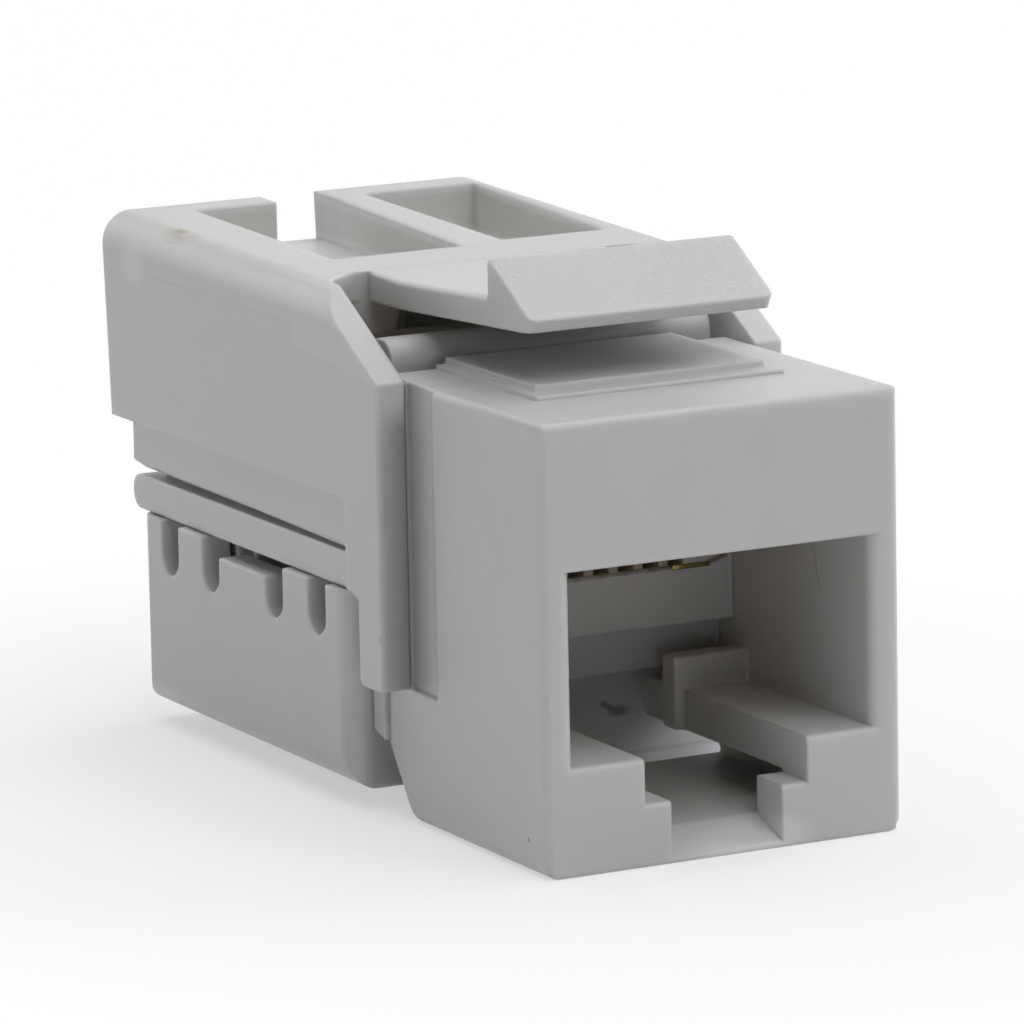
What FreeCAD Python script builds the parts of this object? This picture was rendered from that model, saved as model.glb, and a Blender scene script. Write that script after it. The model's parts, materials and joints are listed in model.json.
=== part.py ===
import FreeCAD, Part
import math
import os

# Keystone jack for eight-wire network plugs. All sizes are in millimetres.
# X runs across the face, +Y is the way the plug goes in, +Z is up.
# The pieces are drawn with Z = 0 at the underside of the front body. They are written
# with the origin at the centre of the plug port's mouth, in the plane of the front face.

V = FreeCAD.Vector

# --- front body -------------------------------------------------------------------------
BODY_WIDTH = 14.2
HEADER_HEIGHT = 5.2       # the body above the plug port
COMB_LENGTH = 2.05        # the body behind the port's rear, where the sled's comb sits
HOOK_RUN = 1.8            # the fixed hook: how far the rear lower corner is cut forward
HOOK_RISE = 2.5           # and how far up the slanted face reaches
FACE_EDGE_RADIUS = 0.35
TOP_EDGE_RADIUS = 0.3
BOTTOM_EDGE_RADIUS = 0.15
RELIEF_LENGTH = 2.0       # shallow strip on each side, just in front of the flange
RELIEF_DEPTH = 0.15

# --- plug port --------------------------------------------------------------------------
PORT_SIDE_WALL = 1.15     # body on each side of the port
PORT_HEIGHT = 6.93
PORT_DEPTH = 9.95
LEDGE_TOP = 3.87          # height of the two ledges that carry the plug
LEDGE_THICKNESS = 1.5
PORT_SIDE_RADIUS = 0.5    # rounded mouth edges at the sides
LEDGE_EDGE_RADIUS = 0.22
STOP_LENGTH = 1.0         # raised stops at the rear end of the ledges
STOP_HEIGHT = 1.2
STOP_INSET = 3.05         # width of each stop, from the port's side wall inwards

# --- latch channel under the port -------------------------------------------------------
LEDGE_REACH = 2.7         # ledges, from the port's side walls inwards
CATCH_REACH = 1.03        # the catches for the plug's latch reach this much further in
CATCH_TOP = 2.25
CATCH_DEPTH = 1.9
CATCH_EDGE_RADIUS = 0.18
BOTTOM_WALL = 0.9
SIDE_WALL_LOWER = 1.3     # side walls beside the hollow under the ledges
LIP_HEIGHT = 0.25         # thin front edge of the sloping lead-in

# --- raised pad on top of the front body ------------------------------------------------
PAD_LOWER_MARGIN = 2.15   # from the body's side to the plate's side
PAD_LOWER_SETBACK = 4.3
PAD_LOWER_RISE = 0.16
PAD_UPPER_MARGIN = 2.5
PAD_UPPER_SETBACK = 5.1
PAD_UPPER_RISE = 0.24
PAD_EDGE_RADIUS = 0.1

# --- contact cavity above the port and the sled that fills it ---------------------------
CONTACT_COUNT = 8
CONTACT_PITCH = 1.02
CONTACT_WIDTH = 0.45
CONTACT_THICKNESS = 0.3
CAVITY_SIDE_STEP = 1.05   # the cavity is this much narrower than the port on each side
CAVITY_FRONT = 2.2
CAVITY_RISE = 4.1         # heights in this group are measured from the top of the port
FIT_GAP = 0.05            # clearance between pieces that slot together
TONGUE_FRONT = 3.4
TONGUE_RISE = 2.8
TONGUE_THICKNESS = 1.6
TONGUE_SIDE_GAP = 0.45    # between the tongue and each side of its cavity
FINGER_OVERRUN = 0.75     # the fingers' tips stand this far behind the port's rear
FINGER_TIP_DROP = 2.25
COMB_SLOT_WIDTH = 0.62
COMB_SLOT_DEPTH = 1.45
COMB_SLOT_DROP = 2.63
COMB_DROP = 4.75
COMB_WALL_SETBACK = 1.05  # the lower part of the port's back wall stands further back
COMB_WALL_FOOT = 0.43     # from the ledges up to the lower edge of that wall
SLED_SHOULDER = 2.2       # length of the sled behind the front body
SLED_LEG_BOTTOM = 2.7
SLED_LEG_RISE = 0.25      # the legs' underside slopes up towards the cap
SLED_LEG_WIDTH = 2.2
SLED_WING_REACH = 0.2     # the apron stands out past the front body, behind the flange's foot
APRON_GAP = 0.1           # between the sled's front plate and the cap behind it
SLED_TOP_DROP = 0.4       # from the top of the front body
SLED_SIDE_GAP = 0.3       # between the sled and the flange's inner face
HUMP_HEIGHT = 1.45
HUMP_LENGTH = 1.8
HUMP_SIDE_GAP = 0.6
HUMP_RADIUS = 0.75
TAIL_ROWS = (1.4, 3.0)    # from the sled to the rows where tails enter the board, by turns
TAIL_BEND_RADIUS = 0.45
TAIL_STANDOUT = 0.5       # what pins and tails show above the board

# --- circuit board ----------------------------------------------------------------------
BOARD_RISE = 3.6          # from the top of the port to the board's underside
BOARD_THICKNESS = 1.2
BOARD_FRONT_GAP = 0.2
BOARD_SIDE_GAP = 0.3
BOARD_HOLE = 0.75

# --- rear housing -----------------------------------------------------------------------
FLANGE_LAP = 1.83         # how far the flange reaches forward over the front body
SIDE_WALL = 1.15
FLANGE_DEPTH = 2.75
FLANGE_FOOT_DEPTH = 1.78  # the flange is thinner below the arms
FLANGE_BOTTOM = 4.88
FLANGE_FOOT_RADIUS = 0.3
ROOF_SLOPE_RUN = 5.03     # the side walls rise from the flange to the roof over this length
ROOF_FRONT_RISE = 2.78    # heights above the front body's top
ROOF_REAR_RISE = 3.2
CEILING_CLEARANCE = 0.3   # above the pins that stand out of the board
POCKET_FLOOR_RISE = 1.4
HOUSING_LENGTH = 23.13    # from the flange's front to the rear face
REAR_WALL = 1.2
REAR_DRAFT = 0.45         # the rear face leans forward by this much at its lower edge
LOWER_PANEL_HEIGHT = 1.76 # between the slits and the upper panel
LOWER_PANEL_SETBACK = 1.6
LOWER_PANEL_RECESS = 0.3
SLIT_HEIGHT = 0.32
ARM_BOTTOM = 8.1
ARM_HEIGHT = 1.32
ARM_END_FLAT = 0.12       # straight stretch between the rounded corners of an arm's end
SLIT_MOUTH_RUN = 1.03     # the slit's upper side bevels away over this run at the rear
SLIT_MOUTH_RISE = 0.12
ROOF_EDGE_RADIUS = 1.2
PANEL_CORNER_RADIUS = 0.3
ROOF_PLATE_LENGTH = 2.7   # solid roof between the lever's root and the pockets
ROOT_POST_WIDTH = 3.4     # posts under the roof, one on each side behind the lever's root
ROOT_POST_STEP = 0.5      # their inner edge is stepped back
ROOT_POST_STEP_DEPTH = 0.35
POCKET_REAR_WALL = 1.5
LEFT_POCKET_MARGIN = 2.15  # margins are measured from the housing's inner faces
RIB_LEFT_FRONT = 0.2
RIB_LEFT_REAR = 0.72
RIB_RIGHT = 2.2
RIGHT_POCKET_MARGIN_FRONT = 0.65
RIGHT_POCKET_MARGIN_REAR = 0.2
RIGHT_POCKET_SETBACK = 0.45
REAR_NOTCH_LEFT = -1.5
LOWER_REAR_WALL = 1.2

# --- latch lever ------------------------------------------------------------------------
LEVER_SIDE_GAP = 2.2      # between the lever and the side walls
LEVER_NOSE_RADIUS = 0.35  # the wedge's tip is rounded off at both corners
LEVER_ROOT_SETBACK = 7.13 # from the flange's front to the lever's root
LEVER_THICKNESS = 1.05
LEVER_FLAT_LENGTH = 2.3   # the lever keeps the roof's level over this length, then climbs
LEVER_CLIMB = 0.4
PANEL_GAP = 2.22          # room for the panel between the wedge's catch face and the flange
WEDGE_RUN = 3.2
WEDGE_HEEL_RUN = 0.75
WEDGE_TOP_RISE = 4.58     # heights above the front body's top
WEDGE_TIP_TOP_RISE = 2.72
WEDGE_TIP_BOTTOM_RISE = 2.27
WEDGE_TIP_RADIUS = 0.15
WEDGE_TOP_RADIUS = 0.12
LEVER_SLOT_RADIUS = 2.0

# --- wire cap ---------------------------------------------------------------------------
CAP_BOTTOM = 0.65
CAP_SETBACK = 1.0         # the cap ends this far in front of the lower panel's rear
CAP_FRONT_GAP = 0.08      # between the cap and the flange in front of it
CAP_TOP_GAP = 0.06        # between the cap's rim and the arms above it
CAP_WALL = 1.2
CAP_FLOOR = 1.3
CAP_SIDE_STEP = 0.05      # the cap's side lies this much inside the flange's side
CAP_CORNER_RADIUS = 0.9
CAP_SIDE_RADIUS = 1.3     # along the bottom edges at the sides
CAP_FRONT_RADIUS = 0.3    # along the bottom edges at the front and rear
WIRE_SLOT_WIDTH = 1.45
WIRE_SLOT_DEPTH = 2.0
SLOT_FRONT_SETBACK = 2.52 # from the cap's front to the first wire slot's centre
SLOT_REAR_SETBACK = 2.7   # and from its rear to the last one's
SLOT_PITCH = 3.54         # between the two slots of a pair
RIM_DIP = 0.55            # the rim is lower between the two middle slots
CABLE_NOTCH_WIDTH = 6.4
CABLE_NOTCH_BOTTOM = 2.9
CABLE_NOTCH_RADIUS = 2.2

# --- terminal block and its blades ------------------------------------------------------
BLOCK_FLOOR = 1.8
BLOCK_WALL = 1.0
TOWER_BOTTOM = 5.0
TOWER_REACH = 3.35        # from the block's side to the tower's inner face
TOWER_WALL_GAP = 0.25     # between the towers and the cap's walls
TOWER_MARGIN = 1.1        # tower beyond a wire slot's centre, towards the middle
TOWER_SLOT_WIDTH = 1.3
TOWER_SLOT_TOP = 7.8
TOWER_TIP_BEVEL = 0.3
BLADE_INSET = 1.8         # from the block's side to the middle of the blades
BLADE_THICKNESS = 0.4
BLADE_WIDTH = 1.6
BLADE_TIP_Z = 5.4
BLADE_SLIT_WIDTH = 0.28
BLADE_SLIT_TOP = 8.6
BLADE_MOUTH = 0.45
BLADE_NECK_WIDTH = 1.1
BLADE_SHOULDER = 0.9      # the blade's shoulders seat this far up inside the block's floor
BLADE_PIN_WIDTH = 0.6
BLADE_GAP = 0.03
WIRE_DIAMETER = 0.95
RIB_THICKNESS = 0.9       # the cap's ribs that press the wires into the blades
RIB_BLADE_GAP = 0.25

PARTS_FOLDER = "parts"

# --- worked-out positions ---------------------------------------------------------------
body_half = BODY_WIDTH / 2
body_depth = PORT_DEPTH + COMB_LENGTH
port_half = body_half - PORT_SIDE_WALL
channel_half = port_half - LEDGE_REACH
throat_half = channel_half - CATCH_REACH
cavity_half = port_half - CAVITY_SIDE_STEP
port_top = LEDGE_TOP + PORT_HEIGHT
port_centre_z = LEDGE_TOP + PORT_HEIGHT / 2
body_height = port_top + HEADER_HEIGHT
body_bottom_rear = body_depth - HOOK_RUN
cavity_top = port_top + CAVITY_RISE
tongue_top = port_top + TONGUE_RISE
tongue_half = cavity_half - TONGUE_SIDE_GAP
finger_tip_y = PORT_DEPTH + FINGER_OVERRUN
finger_tip_z = port_top - FINGER_TIP_DROP
comb_bottom = port_top - COMB_DROP
comb_wall_bottom = LEDGE_TOP + COMB_WALL_FOOT
sled_rear = body_depth + SLED_SHOULDER
sled_half = body_half - SLED_SIDE_GAP
sled_top = body_height - SLED_TOP_DROP
tail_rows = [sled_rear + setback for setback in TAIL_ROWS]
board_bottom = port_top + BOARD_RISE
board_top = board_bottom + BOARD_THICKNESS
pin_top = board_top + TAIL_STANDOUT

outer_half = body_half + SIDE_WALL
panel_half = outer_half - LOWER_PANEL_RECESS
flange_y = body_depth - FLANGE_LAP
flange_rear = flange_y + FLANGE_DEPTH
slope_top_y = flange_y + ROOF_SLOPE_RUN
rear_y = flange_y + HOUSING_LENGTH
lower_panel_rear = rear_y - LOWER_PANEL_SETBACK
slit_bottom = ARM_BOTTOM + ARM_HEIGHT
slit_top = slit_bottom + SLIT_HEIGHT
upper_panel_bottom = slit_top + LOWER_PANEL_HEIGHT
roof_front_z = body_height + ROOF_FRONT_RISE
roof_rear_z = body_height + ROOF_REAR_RISE
ceiling_z = pin_top + CEILING_CLEARANCE
pocket_floor = body_height + POCKET_FLOOR_RISE
lever_root_y = flange_y + LEVER_ROOT_SETBACK
pocket_front = lever_root_y + ROOF_PLATE_LENGTH
lever_half = body_half - LEVER_SIDE_GAP
catch_face_y = flange_y - PANEL_GAP

cap_front = flange_rear + CAP_FRONT_GAP
cap_rear = lower_panel_rear - CAP_SETBACK
cap_top = ARM_BOTTOM - CAP_TOP_GAP
cap_half = outer_half - CAP_SIDE_STEP
cap_inner_half = cap_half - CAP_WALL
cap_floor_top = CAP_BOTTOM + CAP_FLOOR
first_slot_y = cap_front + SLOT_FRONT_SETBACK
last_slot_y = cap_rear - SLOT_REAR_SETBACK
slot_rows = (first_slot_y, first_slot_y + SLOT_PITCH, last_slot_y - SLOT_PITCH, last_slot_y)
slot_bottom = cap_top - WIRE_SLOT_DEPTH
block_bottom = cap_top    # the closed cap's rim stops against the block
block_floor_top = block_bottom + BLOCK_FLOOR
block_rear = lower_panel_rear - LOWER_REAR_WALL
tower_inner_x = body_half - TOWER_REACH
blade_x = body_half - BLADE_INSET
blade_shoulder_z = block_bottom + BLADE_SHOULDER

OVERCUT = 1.0             # how far cutting tools run past the faces they open
WELD = 0.1                # how far a block reaches into the one it is joined to
TINY = 1e-6
NEAR = 0.01               # how close an edge must lie to be the one that is meant


# --- drawing helpers --------------------------------------------------------------------
ALONG_X = V(1, 0, 0)
ALONG_Z = V(0, 0, 1)


def box(x0, x1, y0, y1, z0, z1):
    """Block between two corners."""
    return Part.makeBox(x1 - x0, y1 - y0, z1 - z0, V(x0, y0, z0))


def centred_box(half_width, y0, y1, z0, z1):
    """Block centred on the middle plane."""
    return box(-half_width, half_width, y0, y1, z0, z1)


def corner_arc(before, corner, after, radius):
    """First, middle and last point of the arc that rounds a corner."""
    back = (before - corner).normalize()
    ahead = (after - corner).normalize()
    half_angle = back.getAngle(ahead) / 2
    run = radius / math.tan(half_angle)
    to_centre = (back + ahead).normalize()
    middle = corner + to_centre * (radius / math.sin(half_angle) - radius)
    return corner + back * run, middle, corner + ahead * run


def outline_face(corners):
    """Flat face inside an outline of (point, corner radius) pairs."""
    edges = []
    points = [point for point, radius in corners]
    stretches = []
    for i, (point, radius) in enumerate(corners):
        if radius > 0:
            after = points[(i + 1) % len(points)]
            stretches.append(corner_arc(points[i - 1], point, after, radius))
        else:
            stretches.append((point, point, point))
    for i, (first, middle, last) in enumerate(stretches):
        if corners[i][1] > 0:
            edges.append(Part.Arc(first, middle, last).toShape())
        following = stretches[(i + 1) % len(stretches)][0]
        if last.distanceToPoint(following) > TINY:
            edges.append(Part.LineSegment(last, following).toShape())
    return Part.Face(Part.Wire(edges))


def with_radius(point):
    """Outline points may carry a corner radius as a third number."""
    return point if len(point) > 2 else (point[0], point[1], 0)


def side_profile(points, x0, x1):
    """Solid from an outline seen from the side, given as (y, z) or (y, z, radius)."""
    corners = [(V(x0, y, z), r) for y, z, r in map(with_radius, points)]
    return outline_face(corners).extrude(V(x1 - x0, 0, 0))


def plan_profile(points, z0, z1):
    """Solid from an outline seen from above, given as (x, y) or (x, y, radius)."""
    corners = [(V(x, y, z0), r) for x, y, r in map(with_radius, points)]
    return outline_face(corners).extrude(V(0, 0, z1 - z0))


def front_profile(points, y0, y1):
    """Solid from an outline seen from the front, given as (x, z) or (x, z, radius)."""
    corners = [(V(x, y0, z), r) for x, z, r in map(with_radius, points)]
    return outline_face(corners).extrude(V(0, y1 - y0, 0))


def mirrored(shape):
    """The same shape on the other side of the middle plane."""
    return shape.mirror(V(0, 0, 0), ALONG_X)


def both_sides(shape):
    """A shape and its mirror image."""
    return [shape, mirrored(shape)]


def near(value, target):
    return abs(value - target) < NEAR


def rounded(shape, radius, direction, test):
    """Round the straight edges along a direction whose middle point passes the test."""
    edges = []
    for edge in shape.Edges:
        first, last = edge.Vertexes[0].Point, edge.Vertexes[-1].Point
        run = last - first
        if run.Length < TINY or run.cross(direction).Length > TINY * run.Length:
            continue
        if test((first + last) / 2):
            edges.append(edge)
    return shape.makeFillet(radius, edges) if edges else shape


# --- front body -------------------------------------------------------------------------
def make_front_housing():
    body = make_body_outside().fuse(make_pad()).removeSplitter()
    body = body.cut([make_port_hollow(), make_channel_hollow(), make_contact_cavity()])
    body = body.fuse(make_stops()).removeSplitter()
    return soften_port(body)


def make_body_outside():
    """The body's outside, the same stretch seen from the side, from above and in front."""
    from_side = side_profile([
        (0, 0, BOTTOM_EDGE_RADIUS),
        (body_bottom_rear, 0),
        (body_depth, HOOK_RISE),
        (body_depth, body_height),
        (0, body_height, FACE_EDGE_RADIUS),
    ], -body_half, body_half)
    from_above = plan_profile([
        (-body_half, 0, FACE_EDGE_RADIUS),
        (body_half, 0, FACE_EDGE_RADIUS),
        (body_half, body_depth),
        (-body_half, body_depth),
    ], 0, body_height)
    from_front = front_profile([
        (-body_half, 0),
        (body_half, 0),
        (body_half, body_height, TOP_EDGE_RADIUS),
        (-body_half, body_height, TOP_EDGE_RADIUS),
    ], 0, body_depth)
    body = from_side.common(from_above).common(from_front)
    relief = box(
        body_half - RELIEF_DEPTH, body_half + OVERCUT,
        flange_y - RELIEF_LENGTH, flange_y,
        FLANGE_BOTTOM, body_height + OVERCUT,
    )
    return body.cut(both_sides(relief))


def make_pad():
    """Two thin plates, one on the other, that the latch lever's tip comes down on."""
    plates = []
    base = body_height - PAD_LOWER_RISE
    top = body_height
    for margin, front, rise in (
        (PAD_LOWER_MARGIN, PAD_LOWER_SETBACK, PAD_LOWER_RISE),
        (PAD_UPPER_MARGIN, PAD_UPPER_SETBACK, PAD_UPPER_RISE),
    ):
        top += rise
        plates.append(side_profile([
            (front, base),
            (body_depth, base),
            (body_depth, top),
            (front, top, PAD_EDGE_RADIUS),
        ], margin - body_half, body_half - margin))
    return plates


def make_port_hollow():
    """Room for the plug, through to the rear where the sled closes it."""
    return centred_box(port_half, -OVERCUT, body_depth + OVERCUT, LEDGE_TOP, port_top)


def make_channel_hollow():
    """Room for the plug's latch: a throat between two catches, then a wide hollow."""
    wide_half = body_half - SIDE_WALL_LOWER
    rear = body_depth + OVERCUT
    between_ledges = centred_box(channel_half, CATCH_DEPTH, rear, BOTTOM_WALL, LEDGE_TOP)
    under_ledges = centred_box(
        wide_half, CATCH_DEPTH, rear, BOTTOM_WALL, LEDGE_TOP - LEDGE_THICKNESS
    )
    above_catches = centred_box(channel_half, -OVERCUT, CATCH_DEPTH, CATCH_TOP, LEDGE_TOP)
    slope = (BOTTOM_WALL - LIP_HEIGHT) / CATCH_DEPTH
    lead_in = [
        (-OVERCUT, LIP_HEIGHT - slope * OVERCUT),
        (CATCH_DEPTH, BOTTOM_WALL),
        (CATCH_DEPTH, LEDGE_TOP),
        (-OVERCUT, LEDGE_TOP),
    ]
    throat = side_profile(lead_in, -throat_half, throat_half)
    return between_ledges.fuse([under_ledges, above_catches, throat]).removeSplitter()


def make_contact_cavity():
    """Hollow above the port that the sled's tongue and the eight contacts fill."""
    return centred_box(cavity_half, CAVITY_FRONT, body_depth + OVERCUT, LEDGE_TOP, cavity_top)


def make_stops():
    """Raised stops at the rear of the ledges, where the plug's nose ends."""
    rear = PORT_DEPTH
    stop = box(
        port_half - STOP_INSET, port_half + WELD,
        rear - STOP_LENGTH, rear,
        LEDGE_TOP - LEDGE_THICKNESS, LEDGE_TOP + STOP_HEIGHT,
    )
    return both_sides(stop)


def soften_port(body):
    """Round the mouth of the port, the ledges' front edges and the latch catches."""
    body = rounded(
        body, PORT_SIDE_RADIUS, ALONG_Z,
        lambda p: near(p.y, 0) and near(abs(p.x), port_half) and near(p.z, port_centre_z),
    )
    body = rounded(
        body, LEDGE_EDGE_RADIUS, ALONG_X,
        lambda p: near(p.y, 0) and near(p.z, LEDGE_TOP),
    )
    return rounded(
        body, CATCH_EDGE_RADIUS, ALONG_X,
        lambda p: near(p.y, 0) and near(p.z, CATCH_TOP),
    )


# --- contact sled -----------------------------------------------------------------------
def contact_places():
    """Middle of each contact across the port, from the left."""
    return [CONTACT_PITCH * (i - (CONTACT_COUNT - 1) / 2) for i in range(CONTACT_COUNT)]


def make_contact_sled():
    fit_half = port_half - FIT_GAP
    comb = box(-fit_half, fit_half, PORT_DEPTH, body_depth, comb_bottom, port_top - FIT_GAP)
    wall_front = PORT_DEPTH + COMB_WALL_SETBACK
    low_wall = box(-fit_half, fit_half, wall_front, body_depth, comb_wall_bottom, comb_bottom)
    nose_radius = TONGUE_THICKNESS / 2
    tongue_bottom = tongue_top - TONGUE_THICKNESS
    tongue = side_profile([
        (TONGUE_FRONT, tongue_bottom, nose_radius),
        (body_depth, tongue_bottom),
        (body_depth, tongue_top),
        (TONGUE_FRONT, tongue_top, nose_radius),
    ], -tongue_half, tongue_half)
    neck = box(-tongue_half, tongue_half, wall_front, body_depth, port_top - OVERCUT, tongue_top)
    shoulder = centred_box(sled_half, body_depth, sled_rear, block_bottom, sled_top)
    sled = comb.fuse([low_wall, tongue, neck, shoulder, make_hump(), make_apron()])
    return sled.cut(make_comb_slots() + make_wire_grooves()).removeSplitter()


def make_hump():
    """Rounded bar across the top of the sled, seen under the lever."""
    top = sled_top + HUMP_HEIGHT
    half = body_half - HUMP_SIDE_GAP
    return side_profile([
        (sled_rear - HUMP_LENGTH, sled_top - OVERCUT),
        (sled_rear, sled_top - OVERCUT),
        (sled_rear, top, HUMP_RADIUS),
        (sled_rear - HUMP_LENGTH, top, HUMP_RADIUS),
    ], -half, half)


def make_apron():
    """Thin front plate of the sled, with two legs beside the latch channel's open end."""
    rear = cap_front - APRON_GAP
    apron = []
    for half_width, top in (
        (sled_half, sled_top),
        (body_half + SLED_WING_REACH, cap_top),
    ):
        apron.append(side_profile([
            (body_depth, SLED_LEG_BOTTOM),
            (rear, SLED_LEG_BOTTOM + SLED_LEG_RISE),
            (rear, top),
            (body_depth, top),
        ], -half_width, half_width))
    between_legs = centred_box(
        sled_half - SLED_LEG_WIDTH, body_depth - OVERCUT, rear + OVERCUT,
        SLED_LEG_BOTTOM - OVERCUT, comb_wall_bottom,
    )
    return apron[0].fuse(apron[1]).cut(between_legs)


def make_comb_slots():
    """Slots that keep the free ends of the contacts apart."""
    half = COMB_SLOT_WIDTH / 2
    slots = []
    for x in contact_places():
        slots.append(box(
            x - half, x + half,
            PORT_DEPTH - OVERCUT, PORT_DEPTH + COMB_SLOT_DEPTH,
            port_top - COMB_SLOT_DROP, tongue_top - TONGUE_THICKNESS,
        ))
    return slots


def make_wire_grooves():
    """Openings through the shoulder that the contacts run through to the board."""
    half = CONTACT_WIDTH / 2 + FIT_GAP
    top = tongue_top + CONTACT_THICKNESS + FIT_GAP
    grooves = []
    for x in contact_places():
        grooves.append(box(x - half, x + half, body_depth, sled_rear + OVERCUT, tongue_top, top))
    return grooves


# --- contacts ---------------------------------------------------------------------------
def make_contact(index):
    """One spring contact: tail, run along the tongue, bend round its nose, sloping finger."""
    half = CONTACT_THICKNESS / 2
    x = contact_places()[index]
    tail_y = tail_rows[index % len(tail_rows)]
    run_z = tongue_top + half
    nose_radius = TONGUE_THICKNESS / 2 + half
    nose_y = TONGUE_FRONT + TONGUE_THICKNESS / 2
    nose_z = tongue_top - TONGUE_THICKNESS / 2

    # The finger's middle line passes its tip and touches the bend round the nose.
    reach_y, reach_z = finger_tip_y - nose_y, nose_z - finger_tip_z
    rise = math.atan2(reach_z, reach_y) - math.asin(nose_radius / math.hypot(reach_y, reach_z))
    side_y, side_z = half * math.sin(rise), half * math.cos(rise)
    outer_tip = (finger_tip_y - side_y, finger_tip_z - side_z)
    inner_tip = (finger_tip_y + side_y, finger_tip_z + side_z)

    def meet(tip, z):
        """Where a finger line through a tip point reaches a height."""
        return tip[0] - (z - tip[1]) / math.tan(rise)

    top, bottom = run_z + half, run_z - half
    outline = [
        (tail_y - half, pin_top),
        (tail_y - half, top, TAIL_BEND_RADIUS - half),
        (meet(outer_tip, top), top, nose_radius + half),
        outer_tip,
        inner_tip,
        (meet(inner_tip, bottom), bottom, nose_radius - half),
        (tail_y + half, bottom, TAIL_BEND_RADIUS + half),
        (tail_y + half, pin_top),
    ]
    return side_profile(outline, x - CONTACT_WIDTH / 2, x + CONTACT_WIDTH / 2)


# --- circuit board ----------------------------------------------------------------------
def make_circuit_board():
    half = body_half - BOARD_SIDE_GAP
    board = box(
        -half, half, sled_rear + BOARD_FRONT_GAP, block_rear, board_bottom, board_top
    )
    holes = []
    for index, x in enumerate(contact_places()):
        holes.append(board_hole(x, tail_rows[index % len(tail_rows)]))
    for y in slot_rows:
        for side in (-1, 1):
            holes.append(board_hole(side * blade_x, y))
    return board.cut(holes)


def board_hole(x, y):
    """Square opening for a tail or a blade's pin."""
    half = BOARD_HOLE / 2
    return box(
        x - half, x + half, y - half, y + half, board_bottom - OVERCUT, board_top + OVERCUT
    )


# --- terminal block ---------------------------------------------------------------------
def make_terminal_block():
    """Tray that carries the board, with four towers that hold the blades."""
    half = body_half
    tray = box(-half, half, sled_rear, block_rear, block_bottom, board_bottom)
    hollow = box(
        -half + BLOCK_WALL, half - BLOCK_WALL,
        sled_rear + BLOCK_WALL, block_rear - BLOCK_WALL,
        block_floor_top, board_bottom + OVERCUT,
    )
    wire_gate = centred_box(
        cavity_half, sled_rear - OVERCUT, sled_rear + BLOCK_WALL + OVERCUT,
        tongue_top - CONTACT_THICKNESS, board_bottom + OVERCUT,
    )
    block = tray.cut([hollow, wire_gate]).fuse(make_towers())
    cuts = []
    for y in slot_rows:
        cuts.append(centred_box(
            body_half, y - TOWER_SLOT_WIDTH / 2, y + TOWER_SLOT_WIDTH / 2,
            TOWER_BOTTOM - OVERCUT, TOWER_SLOT_TOP,
        ))
        cuts.extend(both_sides(blade_pocket(y)))
    return block.cut(cuts).removeSplitter()


def make_towers():
    """Two towers on each side, each round a pair of blades, bevelled at the foot."""
    front = (cap_front + CAP_WALL + TOWER_WALL_GAP, slot_rows[1] + TOWER_MARGIN)
    rear = (slot_rows[2] - TOWER_MARGIN, cap_rear - CAP_WALL - TOWER_WALL_GAP)
    bevel_top = TOWER_BOTTOM + TOWER_TIP_BEVEL
    towers = []
    for y0, y1 in (front, rear):
        tower = side_profile([
            (y0 + TOWER_TIP_BEVEL, TOWER_BOTTOM),
            (y1 - TOWER_TIP_BEVEL, TOWER_BOTTOM),
            (y1, bevel_top),
            (y1, block_bottom + BLOCK_FLOOR / 2),
            (y0, block_bottom + BLOCK_FLOOR / 2),
            (y0, bevel_top),
        ], tower_inner_x, cap_inner_half - TOWER_WALL_GAP)
        towers.extend(both_sides(tower))
    return towers


def blade_outline(y, spare):
    """Side outline of a blade without its slit and pin, grown by some spare room."""
    half = BLADE_WIDTH / 2 + spare
    neck = BLADE_NECK_WIDTH / 2 + spare
    return [
        (y - half, BLADE_TIP_Z - spare),
        (y + half, BLADE_TIP_Z - spare),
        (y + half, blade_shoulder_z),
        (y + neck, blade_shoulder_z),
        (y + neck, block_floor_top),
        (y - neck, block_floor_top),
        (y - neck, blade_shoulder_z),
        (y - half, blade_shoulder_z),
    ]


def blade_pocket(y):
    """Pocket for a blade, open below and towards the hollow of the block above."""
    half_t = BLADE_THICKNESS / 2 + BLADE_GAP
    pocket = side_profile(blade_outline(y, BLADE_GAP), blade_x - half_t, blade_x + half_t)
    half_w = BLADE_WIDTH / 2 + BLADE_GAP
    mouth = box(
        blade_x - half_t, blade_x + half_t, y - half_w, y + half_w,
        TOWER_BOTTOM - OVERCUT, BLADE_TIP_Z,
    )
    return pocket.fuse(mouth)


def make_blade(y, side):
    """Flat blade with a slit that cuts through a wire's insulation and grips the core."""
    x0, x1 = blade_x - BLADE_THICKNESS / 2, blade_x + BLADE_THICKNESS / 2
    slit = BLADE_SLIT_WIDTH / 2
    mouth = slit + BLADE_MOUTH
    gap = side_profile([
        (y - mouth, BLADE_TIP_Z - OVERCUT),
        (y + mouth, BLADE_TIP_Z - OVERCUT),
        (y + mouth, BLADE_TIP_Z),
        (y + slit, BLADE_TIP_Z + BLADE_MOUTH),
        (y + slit, BLADE_SLIT_TOP),
        (y - slit, BLADE_SLIT_TOP),
        (y - slit, BLADE_TIP_Z + BLADE_MOUTH),
        (y - mouth, BLADE_TIP_Z),
    ], x0 - OVERCUT, x1 + OVERCUT)
    pin = box(
        x0, x1, y - BLADE_PIN_WIDTH / 2, y + BLADE_PIN_WIDTH / 2,
        block_floor_top - OVERCUT, pin_top,
    )
    blade = side_profile(blade_outline(y, 0), x0, x1).cut(gap).fuse(pin).removeSplitter()
    return blade if side > 0 else mirrored(blade)


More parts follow.
